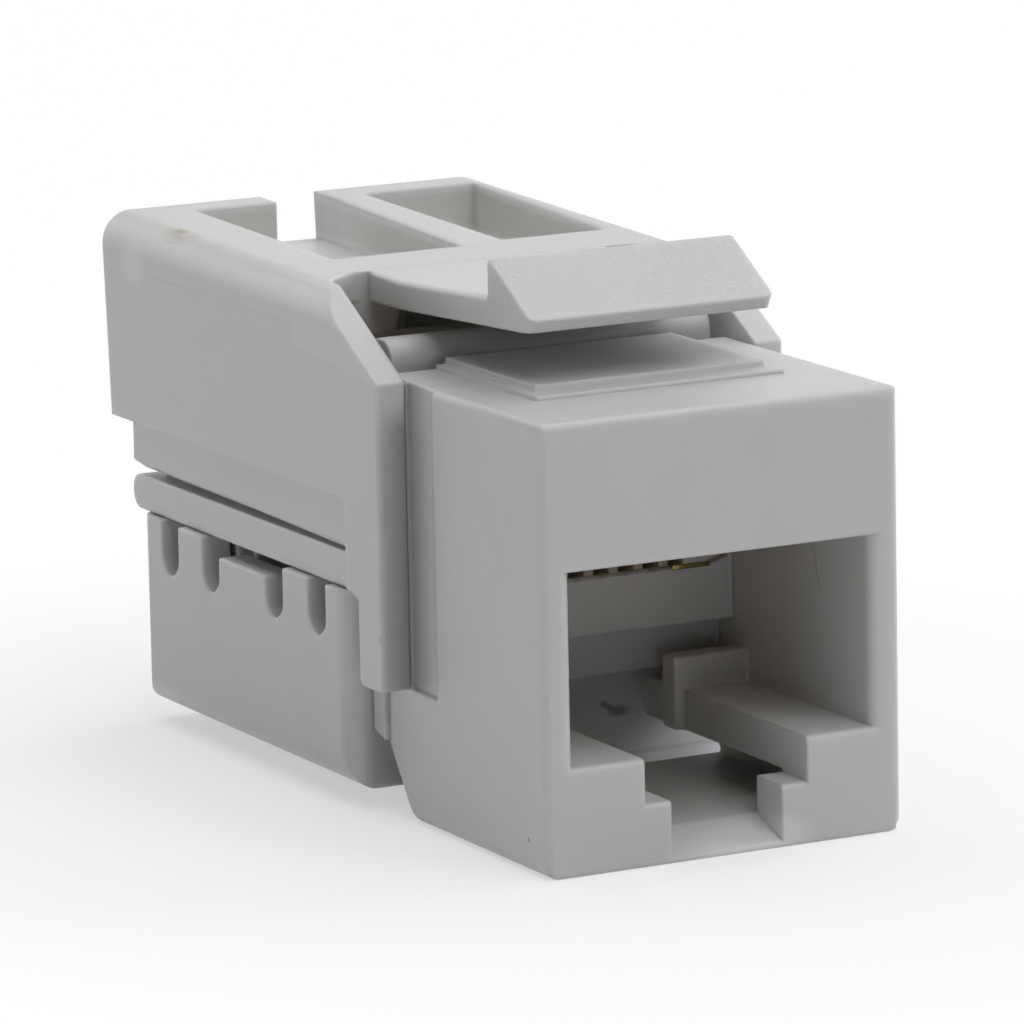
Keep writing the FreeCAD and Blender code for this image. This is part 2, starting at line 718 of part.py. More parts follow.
# --- rear housing -----------------------------------------------------------------------
def make_rear_housing():
    shell = make_shell_outside()
    shell = shell.cut(make_shell_hollows()).fuse(make_root_posts())
    shell = shell.cut(make_roof_pockets())
    shell = shell.cut(both_sides(make_lever_slot()))
    shell = shell.cut(make_side_slits())
    return shell.removeSplitter()


def make_shell_outside():
    """Outside of the housing: flange, sloping side walls, roof and stepped rear edge."""
    foot_rear = flange_y + FLANGE_FOOT_DEPTH
    outline = [
        (flange_y, FLANGE_BOTTOM),
        (flange_y, body_height),
        (slope_top_y, roof_front_z),
        (rear_y, roof_rear_z),
        (rear_y - REAR_DRAFT, upper_panel_bottom),
        (lower_panel_rear, upper_panel_bottom),
        (lower_panel_rear, ARM_BOTTOM),
        (foot_rear, ARM_BOTTOM),
        (foot_rear, FLANGE_BOTTOM, FLANGE_FOOT_RADIUS),
    ]
    shell = side_profile(outline, -outer_half, outer_half)
    roof_y = (slope_top_y + rear_y) / 2
    roof_edges = [
        edge for edge in shell.Edges
        if near(abs(edge.CenterOfMass.x), outer_half)
        and near(edge.CenterOfMass.y, roof_y)
        and edge.CenterOfMass.z > body_height
    ]
    shell = shell.makeFillet(ROOF_EDGE_RADIUS, roof_edges)
    recess = side_profile([
        (flange_rear, ARM_BOTTOM - OVERCUT),
        (lower_panel_rear + OVERCUT, ARM_BOTTOM - OVERCUT),
        (lower_panel_rear + OVERCUT, upper_panel_bottom),
        (flange_rear, upper_panel_bottom, PANEL_CORNER_RADIUS),
    ], panel_half, outer_half + OVERCUT)
    return shell.cut(both_sides(recess))


def make_shell_hollows():
    """Room inside for the front body, sled, board and terminal block."""
    inner = body_half
    flange_to_arm = centred_box(
        inner, flange_y - OVERCUT, block_rear, FLANGE_BOTTOM - OVERCUT, ceiling_z
    )
    upper_rear = centred_box(
        inner, block_rear - OVERCUT, rear_y - REAR_WALL,
        upper_panel_bottom + REAR_WALL, ceiling_z,
    )
    under_lever = centred_box(
        inner, flange_y - OVERCUT, pocket_front - REAR_WALL,
        ceiling_z - OVERCUT, roof_front_z - LEVER_THICKNESS,
    )
    open_front = centred_box(
        lever_half, flange_y - OVERCUT, lever_root_y, ceiling_z, roof_rear_z + OVERCUT
    )
    rear_foot = centred_box(
        inner, block_rear - OVERCUT, rear_y + OVERCUT,
        ARM_BOTTOM - OVERCUT, slit_top,
    )
    return [flange_to_arm, upper_rear, under_lever, open_front, rear_foot]


def make_root_posts():
    """Posts under the roof behind the lever's root, each with a stepped inner edge."""
    inner = body_half - ROOT_POST_WIDTH
    rear = pocket_front - REAR_WALL + WELD
    top = roof_front_z - LEVER_THICKNESS + WELD
    post = box(inner, body_half + WELD, lever_root_y, rear, ceiling_z, top)
    step = box(
        inner - ROOT_POST_STEP, inner + WELD,
        lever_root_y + ROOT_POST_STEP_DEPTH, rear, ceiling_z, top,
    )
    return both_sides(post.fuse(step))


def make_lever_slot():
    """Gap between the lever and a side wall, rounded at its rear end."""
    return plan_profile([
        (lever_half, flange_y - OVERCUT),
        (body_half, flange_y - OVERCUT),
        (body_half, lever_root_y, LEVER_SLOT_RADIUS),
        (lever_half, lever_root_y),
    ], ceiling_z, roof_rear_z + OVERCUT)


def make_roof_pockets():
    """Two sunk pockets in the roof with a tapering rib between them."""
    rear = rear_y - POCKET_REAR_WALL
    top = roof_rear_z + OVERCUT
    left_side = LEFT_POCKET_MARGIN - body_half
    left = plan_profile([
        (left_side, pocket_front),
        (RIB_LEFT_FRONT, pocket_front),
        (RIB_LEFT_REAR, rear),
        (left_side, rear),
    ], pocket_floor, top)
    right_front = pocket_front + RIGHT_POCKET_SETBACK
    right = plan_profile([
        (RIB_RIGHT, right_front),
        (body_half - RIGHT_POCKET_MARGIN_FRONT, right_front),
        (body_half - RIGHT_POCKET_MARGIN_REAR, rear),
        (RIB_RIGHT, rear),
    ], pocket_floor, top)
    notch = box(REAR_NOTCH_LEFT, RIB_LEFT_REAR, rear - OVERCUT, rear_y + OVERCUT, pocket_floor, top)
    return [left, right, notch]


def make_side_slits():
    """Slits that free the two arms along the lower edge, with rounded arm ends."""
    end_radius = (ARM_HEIGHT - ARM_END_FLAT) / 2
    rear = lower_panel_rear
    far = rear + OVERCUT
    x0, x1 = body_half - OVERCUT, outer_half + OVERCUT
    slit = side_profile([
        (flange_rear, slit_bottom),
        (far, slit_bottom),
        (far, slit_top + SLIT_MOUTH_RISE),
        (rear, slit_top + SLIT_MOUTH_RISE),
        (rear - SLIT_MOUTH_RUN, slit_top),
        (flange_rear, slit_top),
    ], x0, x1)
    beyond_arm = box(x0, x1, rear - end_radius, far, ARM_BOTTOM - OVERCUT, slit_bottom)
    arm = side_profile([
        (flange_rear, ARM_BOTTOM),
        (rear, ARM_BOTTOM, end_radius),
        (rear, slit_bottom, end_radius),
        (flange_rear, slit_bottom),
    ], x0, x1)
    return both_sides(slit) + both_sides(beyond_arm.cut(arm))


# --- latch lever ------------------------------------------------------------------------
def make_latch_lever():
    """Springy lever with a wedge whose rear face holds behind the panel."""
    root_top = roof_front_z
    root_bottom = root_top - LEVER_THICKNESS
    heel_top = root_top + LEVER_CLIMB
    flat_y = lever_root_y - LEVER_FLAT_LENGTH
    tip_y = catch_face_y - WEDGE_RUN
    lever = side_profile([
        (lever_root_y, root_bottom),
        (lever_root_y, root_top),
        (flat_y, root_top),
        (catch_face_y, heel_top),
        (catch_face_y, body_height + WEDGE_TOP_RISE, WEDGE_TOP_RADIUS),
        (tip_y, body_height + WEDGE_TIP_TOP_RISE, WEDGE_TIP_RADIUS),
        (tip_y + WEDGE_TIP_RADIUS, body_height + WEDGE_TIP_BOTTOM_RISE, WEDGE_TIP_RADIUS),
        (catch_face_y - WEDGE_HEEL_RUN, heel_top - LEVER_THICKNESS),
        (flat_y, root_bottom),
    ], -lever_half, lever_half)
    from_above = plan_profile([
        (-lever_half, tip_y, LEVER_NOSE_RADIUS),
        (lever_half, tip_y, LEVER_NOSE_RADIUS),
        (lever_half, lever_root_y),
        (-lever_half, lever_root_y),
    ], body_height, body_height + WEDGE_TOP_RISE)
    return lever.common(from_above)


# --- wire cap ---------------------------------------------------------------------------
def make_wire_cap():
    cap = make_cap_outside()
    hollow = box(
        -cap_inner_half, cap_inner_half, cap_front + CAP_WALL, cap_rear - CAP_WALL,
        cap_floor_top, cap_top + OVERCUT,
    )
    cap = cap.cut(hollow).fuse(make_stuffer_ribs())
    slots = []
    for y in slot_rows:
        slots.extend(both_sides(wire_slot(y)))
    return cap.cut(slots + [make_rim_dip(), make_cable_notch()]).removeSplitter()


def make_cap_outside():
    """The cap's outside, the same stretch seen from the side, from above and in front."""
    from_side = side_profile([
        (cap_front, CAP_BOTTOM, CAP_FRONT_RADIUS),
        (cap_rear, CAP_BOTTOM, CAP_FRONT_RADIUS),
        (cap_rear, cap_top),
        (cap_front, cap_top),
    ], -cap_half, cap_half)
    from_above = plan_profile([
        (-cap_half, cap_front, CAP_CORNER_RADIUS),
        (cap_half, cap_front, CAP_CORNER_RADIUS),
        (cap_half, cap_rear, CAP_CORNER_RADIUS),
        (-cap_half, cap_rear, CAP_CORNER_RADIUS),
    ], CAP_BOTTOM, cap_top)
    from_front = front_profile([
        (-cap_half, CAP_BOTTOM, CAP_SIDE_RADIUS),
        (cap_half, CAP_BOTTOM, CAP_SIDE_RADIUS),
        (cap_half, cap_top),
        (-cap_half, cap_top),
    ], cap_front, cap_rear)
    return from_side.common(from_above).common(from_front)


def wire_slot(y):
    """Round-bottomed slot through a side wall, open at the rim."""
    half = WIRE_SLOT_WIDTH / 2
    top = cap_top + OVERCUT
    return side_profile([
        (y - half, slot_bottom, half),
        (y + half, slot_bottom, half),
        (y + half, top),
        (y - half, top),
    ], cap_inner_half, cap_half + OVERCUT)


def make_rim_dip():
    """Lower stretch of the rim between the two middle slots."""
    return centred_box(
        cap_half + OVERCUT, slot_rows[1], slot_rows[2], cap_top - RIM_DIP, cap_top + OVERCUT
    )


def make_cable_notch():
    """Rounded notch in the rear wall where the cable comes in."""
    half = CABLE_NOTCH_WIDTH / 2
    top = cap_top + OVERCUT
    return front_profile([
        (-half, CABLE_NOTCH_BOTTOM, CABLE_NOTCH_RADIUS),
        (half, CABLE_NOTCH_BOTTOM, CABLE_NOTCH_RADIUS),
        (half, top),
        (-half, top),
    ], cap_rear - CAP_WALL, cap_rear + OVERCUT)


def make_stuffer_ribs():
    """Ribs under each wire, split where the blade comes down."""
    top = slot_bottom + (WIRE_SLOT_WIDTH - WIRE_DIAMETER) / 2
    gap = BLADE_THICKNESS / 2 + RIB_BLADE_GAP
    ribs = []
    for y in slot_rows:
        y0, y1 = y - RIB_THICKNESS / 2, y + RIB_THICKNESS / 2
        base = cap_floor_top - CAP_FLOOR / 2
        inner = box(tower_inner_x, blade_x - gap, y0, y1, base, top)
        outer = box(blade_x + gap, cap_inner_half + CAP_WALL / 2, y0, y1, base, top)
        ribs.extend(both_sides(inner) + both_sides(outer))
    return ribs


# --- all pieces -------------------------------------------------------------------------
def make_pieces():
    pieces = {
        "front_housing": make_front_housing(),
        "rear_housing": make_rear_housing(),
        "latch_lever": make_latch_lever(),
        "wire_cap": make_wire_cap(),
        "contact_sled": make_contact_sled(),
        "circuit_board": make_circuit_board(),
        "terminal_block": make_terminal_block(),
    }
    for index in range(CONTACT_COUNT):
        pieces["contact_%d" % (index + 1)] = make_contact(index)
    number = 1
    for side in (-1, 1):
        for y in slot_rows:
            pieces["terminal_blade_%d" % number] = make_blade(y, side)
            number += 1
    return pieces


os.makedirs(PARTS_FOLDER, exist_ok=True)
for name, shape in make_pieces().items():
    shape.translate(V(0, 0, -port_centre_z))
    shape.exportStep("%s/%s.step" % (PARTS_FOLDER, name))
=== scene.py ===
import json
import math

import bmesh
import bpy
from mathutils import Matrix, Vector

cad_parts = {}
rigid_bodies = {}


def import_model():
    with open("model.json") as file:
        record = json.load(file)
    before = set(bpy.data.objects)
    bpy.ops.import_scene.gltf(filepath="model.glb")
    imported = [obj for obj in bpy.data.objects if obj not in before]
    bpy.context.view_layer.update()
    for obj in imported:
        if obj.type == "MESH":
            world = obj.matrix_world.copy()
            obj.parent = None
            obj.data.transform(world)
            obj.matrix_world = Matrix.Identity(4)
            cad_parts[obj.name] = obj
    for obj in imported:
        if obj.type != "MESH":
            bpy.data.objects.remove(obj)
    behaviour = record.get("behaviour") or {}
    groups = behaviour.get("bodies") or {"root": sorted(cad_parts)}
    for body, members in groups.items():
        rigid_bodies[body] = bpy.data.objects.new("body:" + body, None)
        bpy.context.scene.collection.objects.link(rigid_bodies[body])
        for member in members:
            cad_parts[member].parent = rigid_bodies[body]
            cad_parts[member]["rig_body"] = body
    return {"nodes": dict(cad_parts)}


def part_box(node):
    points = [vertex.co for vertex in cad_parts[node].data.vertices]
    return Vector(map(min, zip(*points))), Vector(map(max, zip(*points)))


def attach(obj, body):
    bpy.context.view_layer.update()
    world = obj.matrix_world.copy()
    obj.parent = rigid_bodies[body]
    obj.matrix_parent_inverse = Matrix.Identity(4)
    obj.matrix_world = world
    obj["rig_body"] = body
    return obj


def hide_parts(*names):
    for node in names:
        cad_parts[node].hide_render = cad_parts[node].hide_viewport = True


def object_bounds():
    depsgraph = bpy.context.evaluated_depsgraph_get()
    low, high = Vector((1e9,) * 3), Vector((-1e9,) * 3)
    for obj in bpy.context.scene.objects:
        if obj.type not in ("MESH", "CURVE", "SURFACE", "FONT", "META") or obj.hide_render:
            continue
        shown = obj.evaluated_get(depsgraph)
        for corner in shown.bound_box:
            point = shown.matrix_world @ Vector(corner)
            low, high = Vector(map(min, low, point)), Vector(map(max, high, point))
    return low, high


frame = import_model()

# Looks of a keystone jack. Metres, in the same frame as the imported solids: X across the
# face, +Y into the port, +Z up towards the latch lever.

MM = 0.001
CONTACTS = [f"contact_{i}" for i in range(1, 9)]
BLADES = [f"terminal_blade_{i}" for i in range(1, 9)]


# --- sizes worked out from the frame ------------------------------------------------------
def millimetres(length):
    """A length of the frame in millimetres, to the nearest thousandth."""
    return round(length / MM, 3)


cad_low, cad_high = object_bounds()
body_low, body_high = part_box("front_housing")
rear_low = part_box("rear_housing")[0]
lever_low, lever_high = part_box("latch_lever")
cap_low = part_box("wire_cap")[0]
middle = (cad_low + cad_high) / 2
BODY_X = millimetres(body_low.x)       # the front housing's left side
SIDE_X = millimetres(rear_low.x)       # the rear housing's left side
FLANGE_Y = millimetres(rear_low.y)     # the flange's front face
CAP_FRONT_Y = millimetres(cap_low.y)
HINGE_Y = millimetres(lever_high.y)    # plane where the lever grows out of the roof
LEVER_HALF_WIDTH = millimetres(lever_high.x)


# --- places and sizes that only the looks need, in millimetres ----------------------------
GATE = (-7.41, 28.0, 11.85)            # where the plastic entered the mould
PARTING_LINE = (
    (SIDE_X, 28.5, 9.93), (SIDE_X, 22.0, 9.99), (SIDE_X, 17.0, 9.86), (SIDE_X, 16.9, 9.1),
    (SIDE_X, 14.6, 8.86), (SIDE_X, 10.3, 8.57),
)
SCRATCH = ((5.95, 4.2, 2.3), (5.95, 3.95, 2.0), (5.95, 3.9, 1.4), (5.95, 3.65, 0.9))
LINE_WIDTH = 0.16                      # parting line and scratch
POCKET_FRONT_Y = 19.5                  # the roof pockets run from here
POCKET_REAR_Y = 32.5                   # to here
STRIP_X = -6.95                        # recessed strip on the front housing's side
COMB_Y = 9.95                          # the comb's face at the back of the port
COMB_SLOTS = (-3.56, -2.54, -1.52, -0.5, 0.5, 1.52, 2.54, 3.56)
CAP_LOWERED = (-3.5, 7.2)              # stretch of the cap's front that the port looks on
CAP_LOWERED_Z = -7.2                   # where its lower edge goes
CAP_EDGE_Z = -6.3                      # corners below this belong to that edge
FOOT_RADIUS = 0.5                      # long edges under the front housing
FOOT_CUTS = (1.0, 0.62, 0.3, 0.1)      # shares of that radius where its faces are divided
LEVER_OUTLINE = (
    (5.0, 10.93), (4.78, 11.36), (7.80, 13.15), (7.95, 13.15), (7.95, 11.85),
    (15.0, 11.445), (HINGE_Y, 11.49), (HINGE_Y, 10.395), (15.0, 10.395),
)
NOSE_RADIUS = 0.35                     # the lever's two front corners, in plan
NOSE_CORNER_Y = 5.1                    # they lie in front of this
NOSE_LENGTH = 3.3                      # rough grain, from the lever's front
NOSE_FOOT = 1.2                        # and from this far above its underside


# --- material helpers ---------------------------------------------------------------------
def new_material(name):
    """Empty node material with a Principled shader, and the two lists to add to."""
    material = bpy.data.materials.new(name)
    material.use_nodes = True
    tree = material.node_tree
    return material, tree.nodes, tree.links, tree.nodes["Principled BSDF"]


def object_coordinates(nodes, links, scale):
    """Position on the object, in units of one over the scale, the same for all pieces."""
    coordinates = nodes.new("ShaderNodeTexCoord")
    mapping = nodes.new("ShaderNodeMapping")
    mapping.inputs["Scale"].default_value = (scale, scale, scale)
    links.new(coordinates.outputs["Object"], mapping.inputs["Vector"])
    return mapping.outputs["Vector"]


def noise(nodes, links, scale, detail=2.0, roughness=0.5):
    """Soft noise whose grains are about one over the scale in metres."""
    texture = nodes.new("ShaderNodeTexNoise")
    texture.inputs["Scale"].default_value = 1.0
    texture.inputs["Detail"].default_value = detail
    texture.inputs["Roughness"].default_value = roughness
    links.new(object_coordinates(nodes, links, scale), texture.inputs["Vector"])
    return texture.outputs["Fac"]


def spread(nodes, links, value, low, high, to_low, to_high):
    """Map a value from one range to another, kept between its ends."""
    node = nodes.new("ShaderNodeMapRange")
    node.inputs["From Min"].default_value = low
    node.inputs["From Max"].default_value = high
    node.inputs["To Min"].default_value = to_low
    node.inputs["To Max"].default_value = to_high
    links.new(value, node.inputs["Value"])
    return node.outputs["Result"]


def calculate(nodes, links, operation, first, second):
    """One step of arithmetic on two sockets or numbers."""
    node = nodes.new("ShaderNodeMath")
    node.operation = operation
    for socket, value in zip(node.inputs, (first, second)):
        if isinstance(value, (int, float)):
            socket.default_value = value
        else:
            links.new(value, socket)
    return node.outputs["Value"]


def product(nodes, links, *values):
    """Several values multiplied together."""
    total = values[0]
    for value in values[1:]:
        total = calculate(nodes, links, "MULTIPLY", total, value)
    return total


def mix_colours(nodes, links, amount, first, second):
    """Blend two colours, each a tuple or a socket, by an amount from 0 to 1."""
    node = nodes.new("ShaderNodeMix")
    node.data_type = "RGBA"
    for socket, value in ((node.inputs[6], first), (node.inputs[7], second)):
        if isinstance(value, tuple):
            socket.default_value = (*value, 1.0)
        else:
            links.new(value, socket)
    if isinstance(amount, (int, float)):
        node.inputs[0].default_value = amount
    else:
        links.new(amount, node.inputs[0])
    return node.outputs[2]


def bump(nodes, links, shader, height, distance, strength=1.0):
    """Raise the surface by a height map, on top of any bump that is there already."""
    node = nodes.new("ShaderNodeBump")
    node.inputs["Strength"].default_value = strength
    node.inputs["Distance"].default_value = distance
    links.new(height, node.inputs["Height"])
    if shader.inputs["Normal"].is_linked:
        links.new(shader.inputs["Normal"].links[0].from_socket, node.inputs["Normal"])
    links.new(node.outputs["Normal"], shader.inputs["Normal"])


# --- marks, and painted light and shade, in the surface -------------------------------------
def surface(material):
    """The parts of a material that a mark is added to."""
    nodes = material.node_tree.nodes
    return nodes, material.node_tree.links, nodes["Principled BSDF"]


def position(nodes, links):
    """The place on the object, as three sockets named X, Y and Z."""
    coordinates = nodes.new("ShaderNodeTexCoord")
    split = nodes.new("ShaderNodeSeparateXYZ")
    links.new(coordinates.outputs["Object"], split.inputs["Vector"])
    return split.outputs


def ramp(nodes, links, value, low, high, start=0.0, end=1.0):
    """Change from start to end over a stretch given in millimetres."""
    return spread(nodes, links, value, low * MM, high * MM, start, end)


def distance_from(nodes, links, value, place=0.0):
    """How far a coordinate is from a place in millimetres, on either side."""
    offset = calculate(nodes, links, "SUBTRACT", value, place * MM)
    return calculate(nodes, links, "ABSOLUTE", offset, 0.0)


def offset_from(nodes, links, place):
    """Vector from a place in millimetres to the point on the object."""
    coordinates = nodes.new("ShaderNodeTexCoord")
    shift = nodes.new("ShaderNodeVectorMath")
    shift.operation = "SUBTRACT"
    links.new(coordinates.outputs["Object"], shift.inputs[0])
    shift.inputs[1].default_value = Vector(place) * MM
    return shift.outputs["Vector"]


def spot(nodes, links, centre, radii):
    """1 at a place on the object, fading to 0 at an ellipsoid round it. Millimetres."""
    squeeze = nodes.new("ShaderNodeVectorMath")
    squeeze.operation = "DIVIDE"
    links.new(offset_from(nodes, links, centre), squeeze.inputs[0])
    squeeze.inputs[1].default_value = Vector(radii) * MM
    length = nodes.new("ShaderNodeVectorMath")
    length.operation = "LENGTH"
    links.new(squeeze.outputs["Vector"], length.inputs[0])
    return spread(nodes, links, length.outputs["Value"], 0.35, 1.0, 1.0, 0.0)


def stroke(nodes, links, start, end, width):
    """1 along a straight line on the object, fading to 0 beside it. Millimetres."""
    along = (Vector(end) - Vector(start)) * MM
    offset = offset_from(nodes, links, start)
    travel = nodes.new("ShaderNodeVectorMath")
    travel.operation = "DOT_PRODUCT"
    links.new(offset, travel.inputs[0])
    travel.inputs[1].default_value = along / along.length_squared
    share = spread(nodes, links, travel.outputs["Value"], 0.0, 1.0, 0.0, 1.0)
    nearest = nodes.new("ShaderNodeVectorMath")
    nearest.operation = "SCALE"
    nearest.inputs[0].default_value = along
    links.new(share, nearest.inputs["Scale"])
    distance = nodes.new("ShaderNodeVectorMath")
    distance.operation = "DISTANCE"
    links.new(offset, distance.inputs[0])
    links.new(nearest.outputs["Vector"], distance.inputs[1])
    half = width * MM / 2
    return spread(nodes, links, distance.outputs["Value"], half * 0.3, half, 1.0, 0.0)


def strokes(nodes, links, points, width):
    """A line through several points."""
    total = 0.0
    for start, end in zip(points, points[1:]):
        part = stroke(nodes, links, start, end, width)
        total = calculate(nodes, links, "MAXIMUM", part, total)
    return total


def stain_or_paint_light(nodes, links, shader, where, colour, amount):
    """Tint the base colour where a mark, painted light or painted shade lies."""
    base = shader.inputs["Base Color"].links[0].from_socket
    share = calculate(nodes, links, "MULTIPLY", where, amount)
    links.new(mix_colours(nodes, links, share, base, colour), shader.inputs["Base Color"])


# --- materials ----------------------------------------------------------------------------
PLASTIC = (0.588, 0.580, 0.567)
PLASTIC_WARM = (0.575, 0.565, 0.548)
EDGE_SOFTNESS = 0.2 * MM
ROOF_SOFTNESS = 0.7 * MM


def moulded_plastic(name, grain=1.0, shade=1.0):
    """Light grey moulded plastic: faint mottling, fine grain, slow sink marks, soft edges."""
    material, nodes, links, shader = new_material(name)
    mottle = spread(nodes, links, noise(nodes, links, 350), 0.3, 0.7, 0.0, 1.0)
    cloud = spread(nodes, links, noise(nodes, links, 90, detail=1.0), 0.35, 0.65, 0.0, 1.0)
    plain, warm = (tuple(c * shade for c in tone) for tone in (PLASTIC, PLASTIC_WARM))
    tone = mix_colours(nodes, links, mottle, plain, warm)
    pale = tuple(c * 1.02 for c in plain)
    tone = mix_colours(nodes, links, calculate(nodes, links, "MULTIPLY", cloud, 0.5), tone, pale)
    links.new(tone, shader.inputs["Base Color"])
    fine = noise(nodes, links, 9000, detail=3.0, roughness=0.6)
    links.new(spread(nodes, links, fine, 0.3, 0.7, 0.32, 0.44), shader.inputs["Roughness"])
    shader.inputs["IOR"].default_value = 1.5
    shader.inputs["Subsurface Weight"].default_value = 0.3
    shader.inputs["Subsurface Radius"].default_value = (1.0, 0.93, 0.85)
    shader.inputs["Subsurface Scale"].default_value = 0.8 * MM
    edges = nodes.new("ShaderNodeBevel")
    edges.name = "soft_edges"
    edges.samples = 6
    edges.inputs["Radius"].default_value = EDGE_SOFTNESS
    links.new(edges.outputs["Normal"], shader.inputs["Normal"])
    bump(nodes, links, shader, noise(nodes, links, 160, detail=1.0), 0.05 * MM, 0.4)
    bump(nodes, links, shader, fine, 0.011 * MM * grain)
    return material


# Colours of the marks, and of the painted light and shade.
GATE_BROWN = (0.44, 0.37, 0.27)
PIT_BROWN = (0.36, 0.30, 0.21)
PALE_PATCH = (0.72, 0.72, 0.71)
GUSSET_TONE = (0.64, 0.625, 0.60)
# Painted light for the roof pockets.
POCKET_PAINTED_LIGHT = (0.76, 0.74, 0.70)
# Painted shade for the corners where the flange meets the front housing.
PAINTED_CORNER_SHADE = (0.17, 0.17, 0.175)
LINE_GREY = (0.42, 0.42, 0.42)
FLANGE_FLECK = (0.25, 0.24, 0.22)
SIDE_FLECK = (0.16, 0.15, 0.14)
SCRATCH_BROWN = (0.2, 0.18, 0.16)
# Painted shade inside the port, and painted light on its sill.
PORT_PAINTED_SHADE = (0.28, 0.25, 0.22)
SILL_PAINTED_LIGHT = (0.86, 0.85, 0.82)
# Painted light on the cap's front, then a dark mark on it.
CAP_PAINTED_LIGHT = (0.97, 0.98, 1.0)
DARK_MARK_BLACK = (0.08, 0.08, 0.08)
COMB_BROWN = (0.28, 0.21, 0.14)
COMB_DARK = (0.14, 0.08, 0.04)
# Painted shade in the comb's slots.
SLOT_PAINTED_SHADE = (0.03, 0.025, 0.02)


def crisp_at_hinge(material):
    """No softened edge where the lever grows out of the roof, so that no seam shows."""
    nodes, links, _ = surface(material)
    place = position(nodes, links)
    beside = distance_from(nodes, links, place["Y"], HINGE_Y)
    away = ramp(nodes, links, beside, 0.3, 0.7)
    across = distance_from(nodes, links, place["X"])
    outside = ramp(nodes, links, across, LEVER_HALF_WIDTH - 0.1, LEVER_HALF_WIDTH + 0.3)
    keep = calculate(nodes, links, "MAXIMUM", away, outside)
    radius = nodes["soft_edges"].inputs["Radius"]
    before = radius.links[0].from_socket if radius.is_linked else radius.default_value
    links.new(product(nodes, links, keep, before), radius)


def roughen_nose(material):
    """Coarse spark-eroded grain on the lever's sloping nose."""
    nodes, links, shader = surface(material)
    place = position(nodes, links)
    nose_end, nose_foot = lever_low.y + NOSE_LENGTH * MM, lever_low.z + NOSE_FOOT * MM
    in_front = calculate(nodes, links, "LESS_THAN", place["Y"], nose_end)
    above = calculate(nodes, links, "GREATER_THAN", place["Z"], nose_foot)
    grains = noise(nodes, links, 4200, detail=2.0, roughness=0.7)
    height = product(nodes, links, in_front, above, grains)
    bump(nodes, links, shader, height, 0.055 * MM)


def soften_roof(material):
    """Broader roundings round the roof pockets than elsewhere."""
    nodes, links, _ = surface(material)
    place = position(nodes, links)
    on_roof = ramp(nodes, links, place["Z"], 9.4, 9.9)
    behind = ramp(nodes, links, place["Y"], POCKET_FRONT_Y - 1.2, POCKET_FRONT_Y - 0.2)
    soft = product(nodes, links, on_roof, behind)
    radius = spread(nodes, links, soft, 0.0, 1.0, EDGE_SOFTNESS, ROOF_SOFTNESS)
    links.new(radius, nodes["soft_edges"].inputs["Radius"])


def mark_gate(material):
    """The brownish scar where the moulding was cut from its gate, and a pale patch by it."""
    nodes, links, shader = surface(material)
    ragged = spread(nodes, links, noise(nodes, links, 2600, detail=3.0), 0.4, 0.6, 0.35, 1.0)
    scar = spot(nodes, links, GATE, (0.75, 1.7, 0.7))
    pit = spot(nodes, links, GATE, (0.3, 0.6, 0.5))
    stain_or_paint_light(nodes, links, shader, product(nodes, links, scar, ragged), GATE_BROWN, 0.6)
    stain_or_paint_light(nodes, links, shader, pit, PIT_BROWN, 0.5)
    bump(nodes, links, shader, scar, 0.07 * MM)
    bump(nodes, links, shader, pit, -0.1 * MM)
    paler = spot(nodes, links, (SIDE_X, 30.6, 10.2), (0.6, 1.3, 1.0))
    stain_or_paint_light(nodes, links, shader, paler, PALE_PATCH, 0.5)


def mark_gusset(material):
    """A slightly warmer tone on the side above the parting line's front end."""
    nodes, links, shader = surface(material)
    place = position(nodes, links)
    fall = product(nodes, links, place["Y"], -0.067)
    rise = calculate(nodes, links, "ADD", fall, place["Z"])
    gusset = product(
        nodes, links,
        calculate(nodes, links, "GREATER_THAN", rise, 7.88 * MM),
        ramp(nodes, links, place["Y"], 16.8, 17.1, 1.0, 0.0),
        calculate(nodes, links, "LESS_THAN", place["X"], (SIDE_X + 0.15) * MM),
        ramp(nodes, links, place["Z"], 9.6, 10.6, 1.0, 0.0),
    )
    stain_or_paint_light(nodes, links, shader, gusset, GUSSET_TONE, 0.45)


def paint_pocket_light(material):
    """Painted light in the roof pockets, a paler tone standing in for the light that the thin
    walls round them let through.
    """
    nodes, links, shader = surface(material)
    place = position(nodes, links)
    across = distance_from(nodes, links, place["X"])
    pocket = product(
        nodes, links,
        ramp(nodes, links, place["Y"], POCKET_FRONT_Y, POCKET_FRONT_Y + 1.0),
        ramp(nodes, links, place["Y"], POCKET_REAR_Y - 0.3, POCKET_REAR_Y, 1.0, 0.0),
        ramp(nodes, links, place["Z"], 11.0, 11.8, 1.0, 0.0),
        ramp(nodes, links, across, 7.0, 7.4, 1.0, 0.0),
    )
    stain_or_paint_light(nodes, links, shader, pocket, POCKET_PAINTED_LIGHT, 0.35)


def shade_flange_front(material):
    """Painted shade on the flange's front face on the side with the parting line, darker towards
    the front housing.
    """
    nodes, links, shader = surface(material)
    place = position(nodes, links)
    painted_shade = product(
        nodes, links,
        ramp(nodes, links, place["Y"], FLANGE_Y + 0.03, FLANGE_Y + 0.18, 1.0, 0.0),
        ramp(nodes, links, place["X"], SIDE_X - 0.05, SIDE_X + 0.95, 0.25, 1.0),
        calculate(nodes, links, "LESS_THAN", place["X"], -6.5 * MM),
        ramp(nodes, links, place["Z"], 7.0, 8.0, 1.0, 0.0),
    )
    stain_or_paint_light(nodes, links, shader, painted_shade, PAINTED_CORNER_SHADE, 0.62)


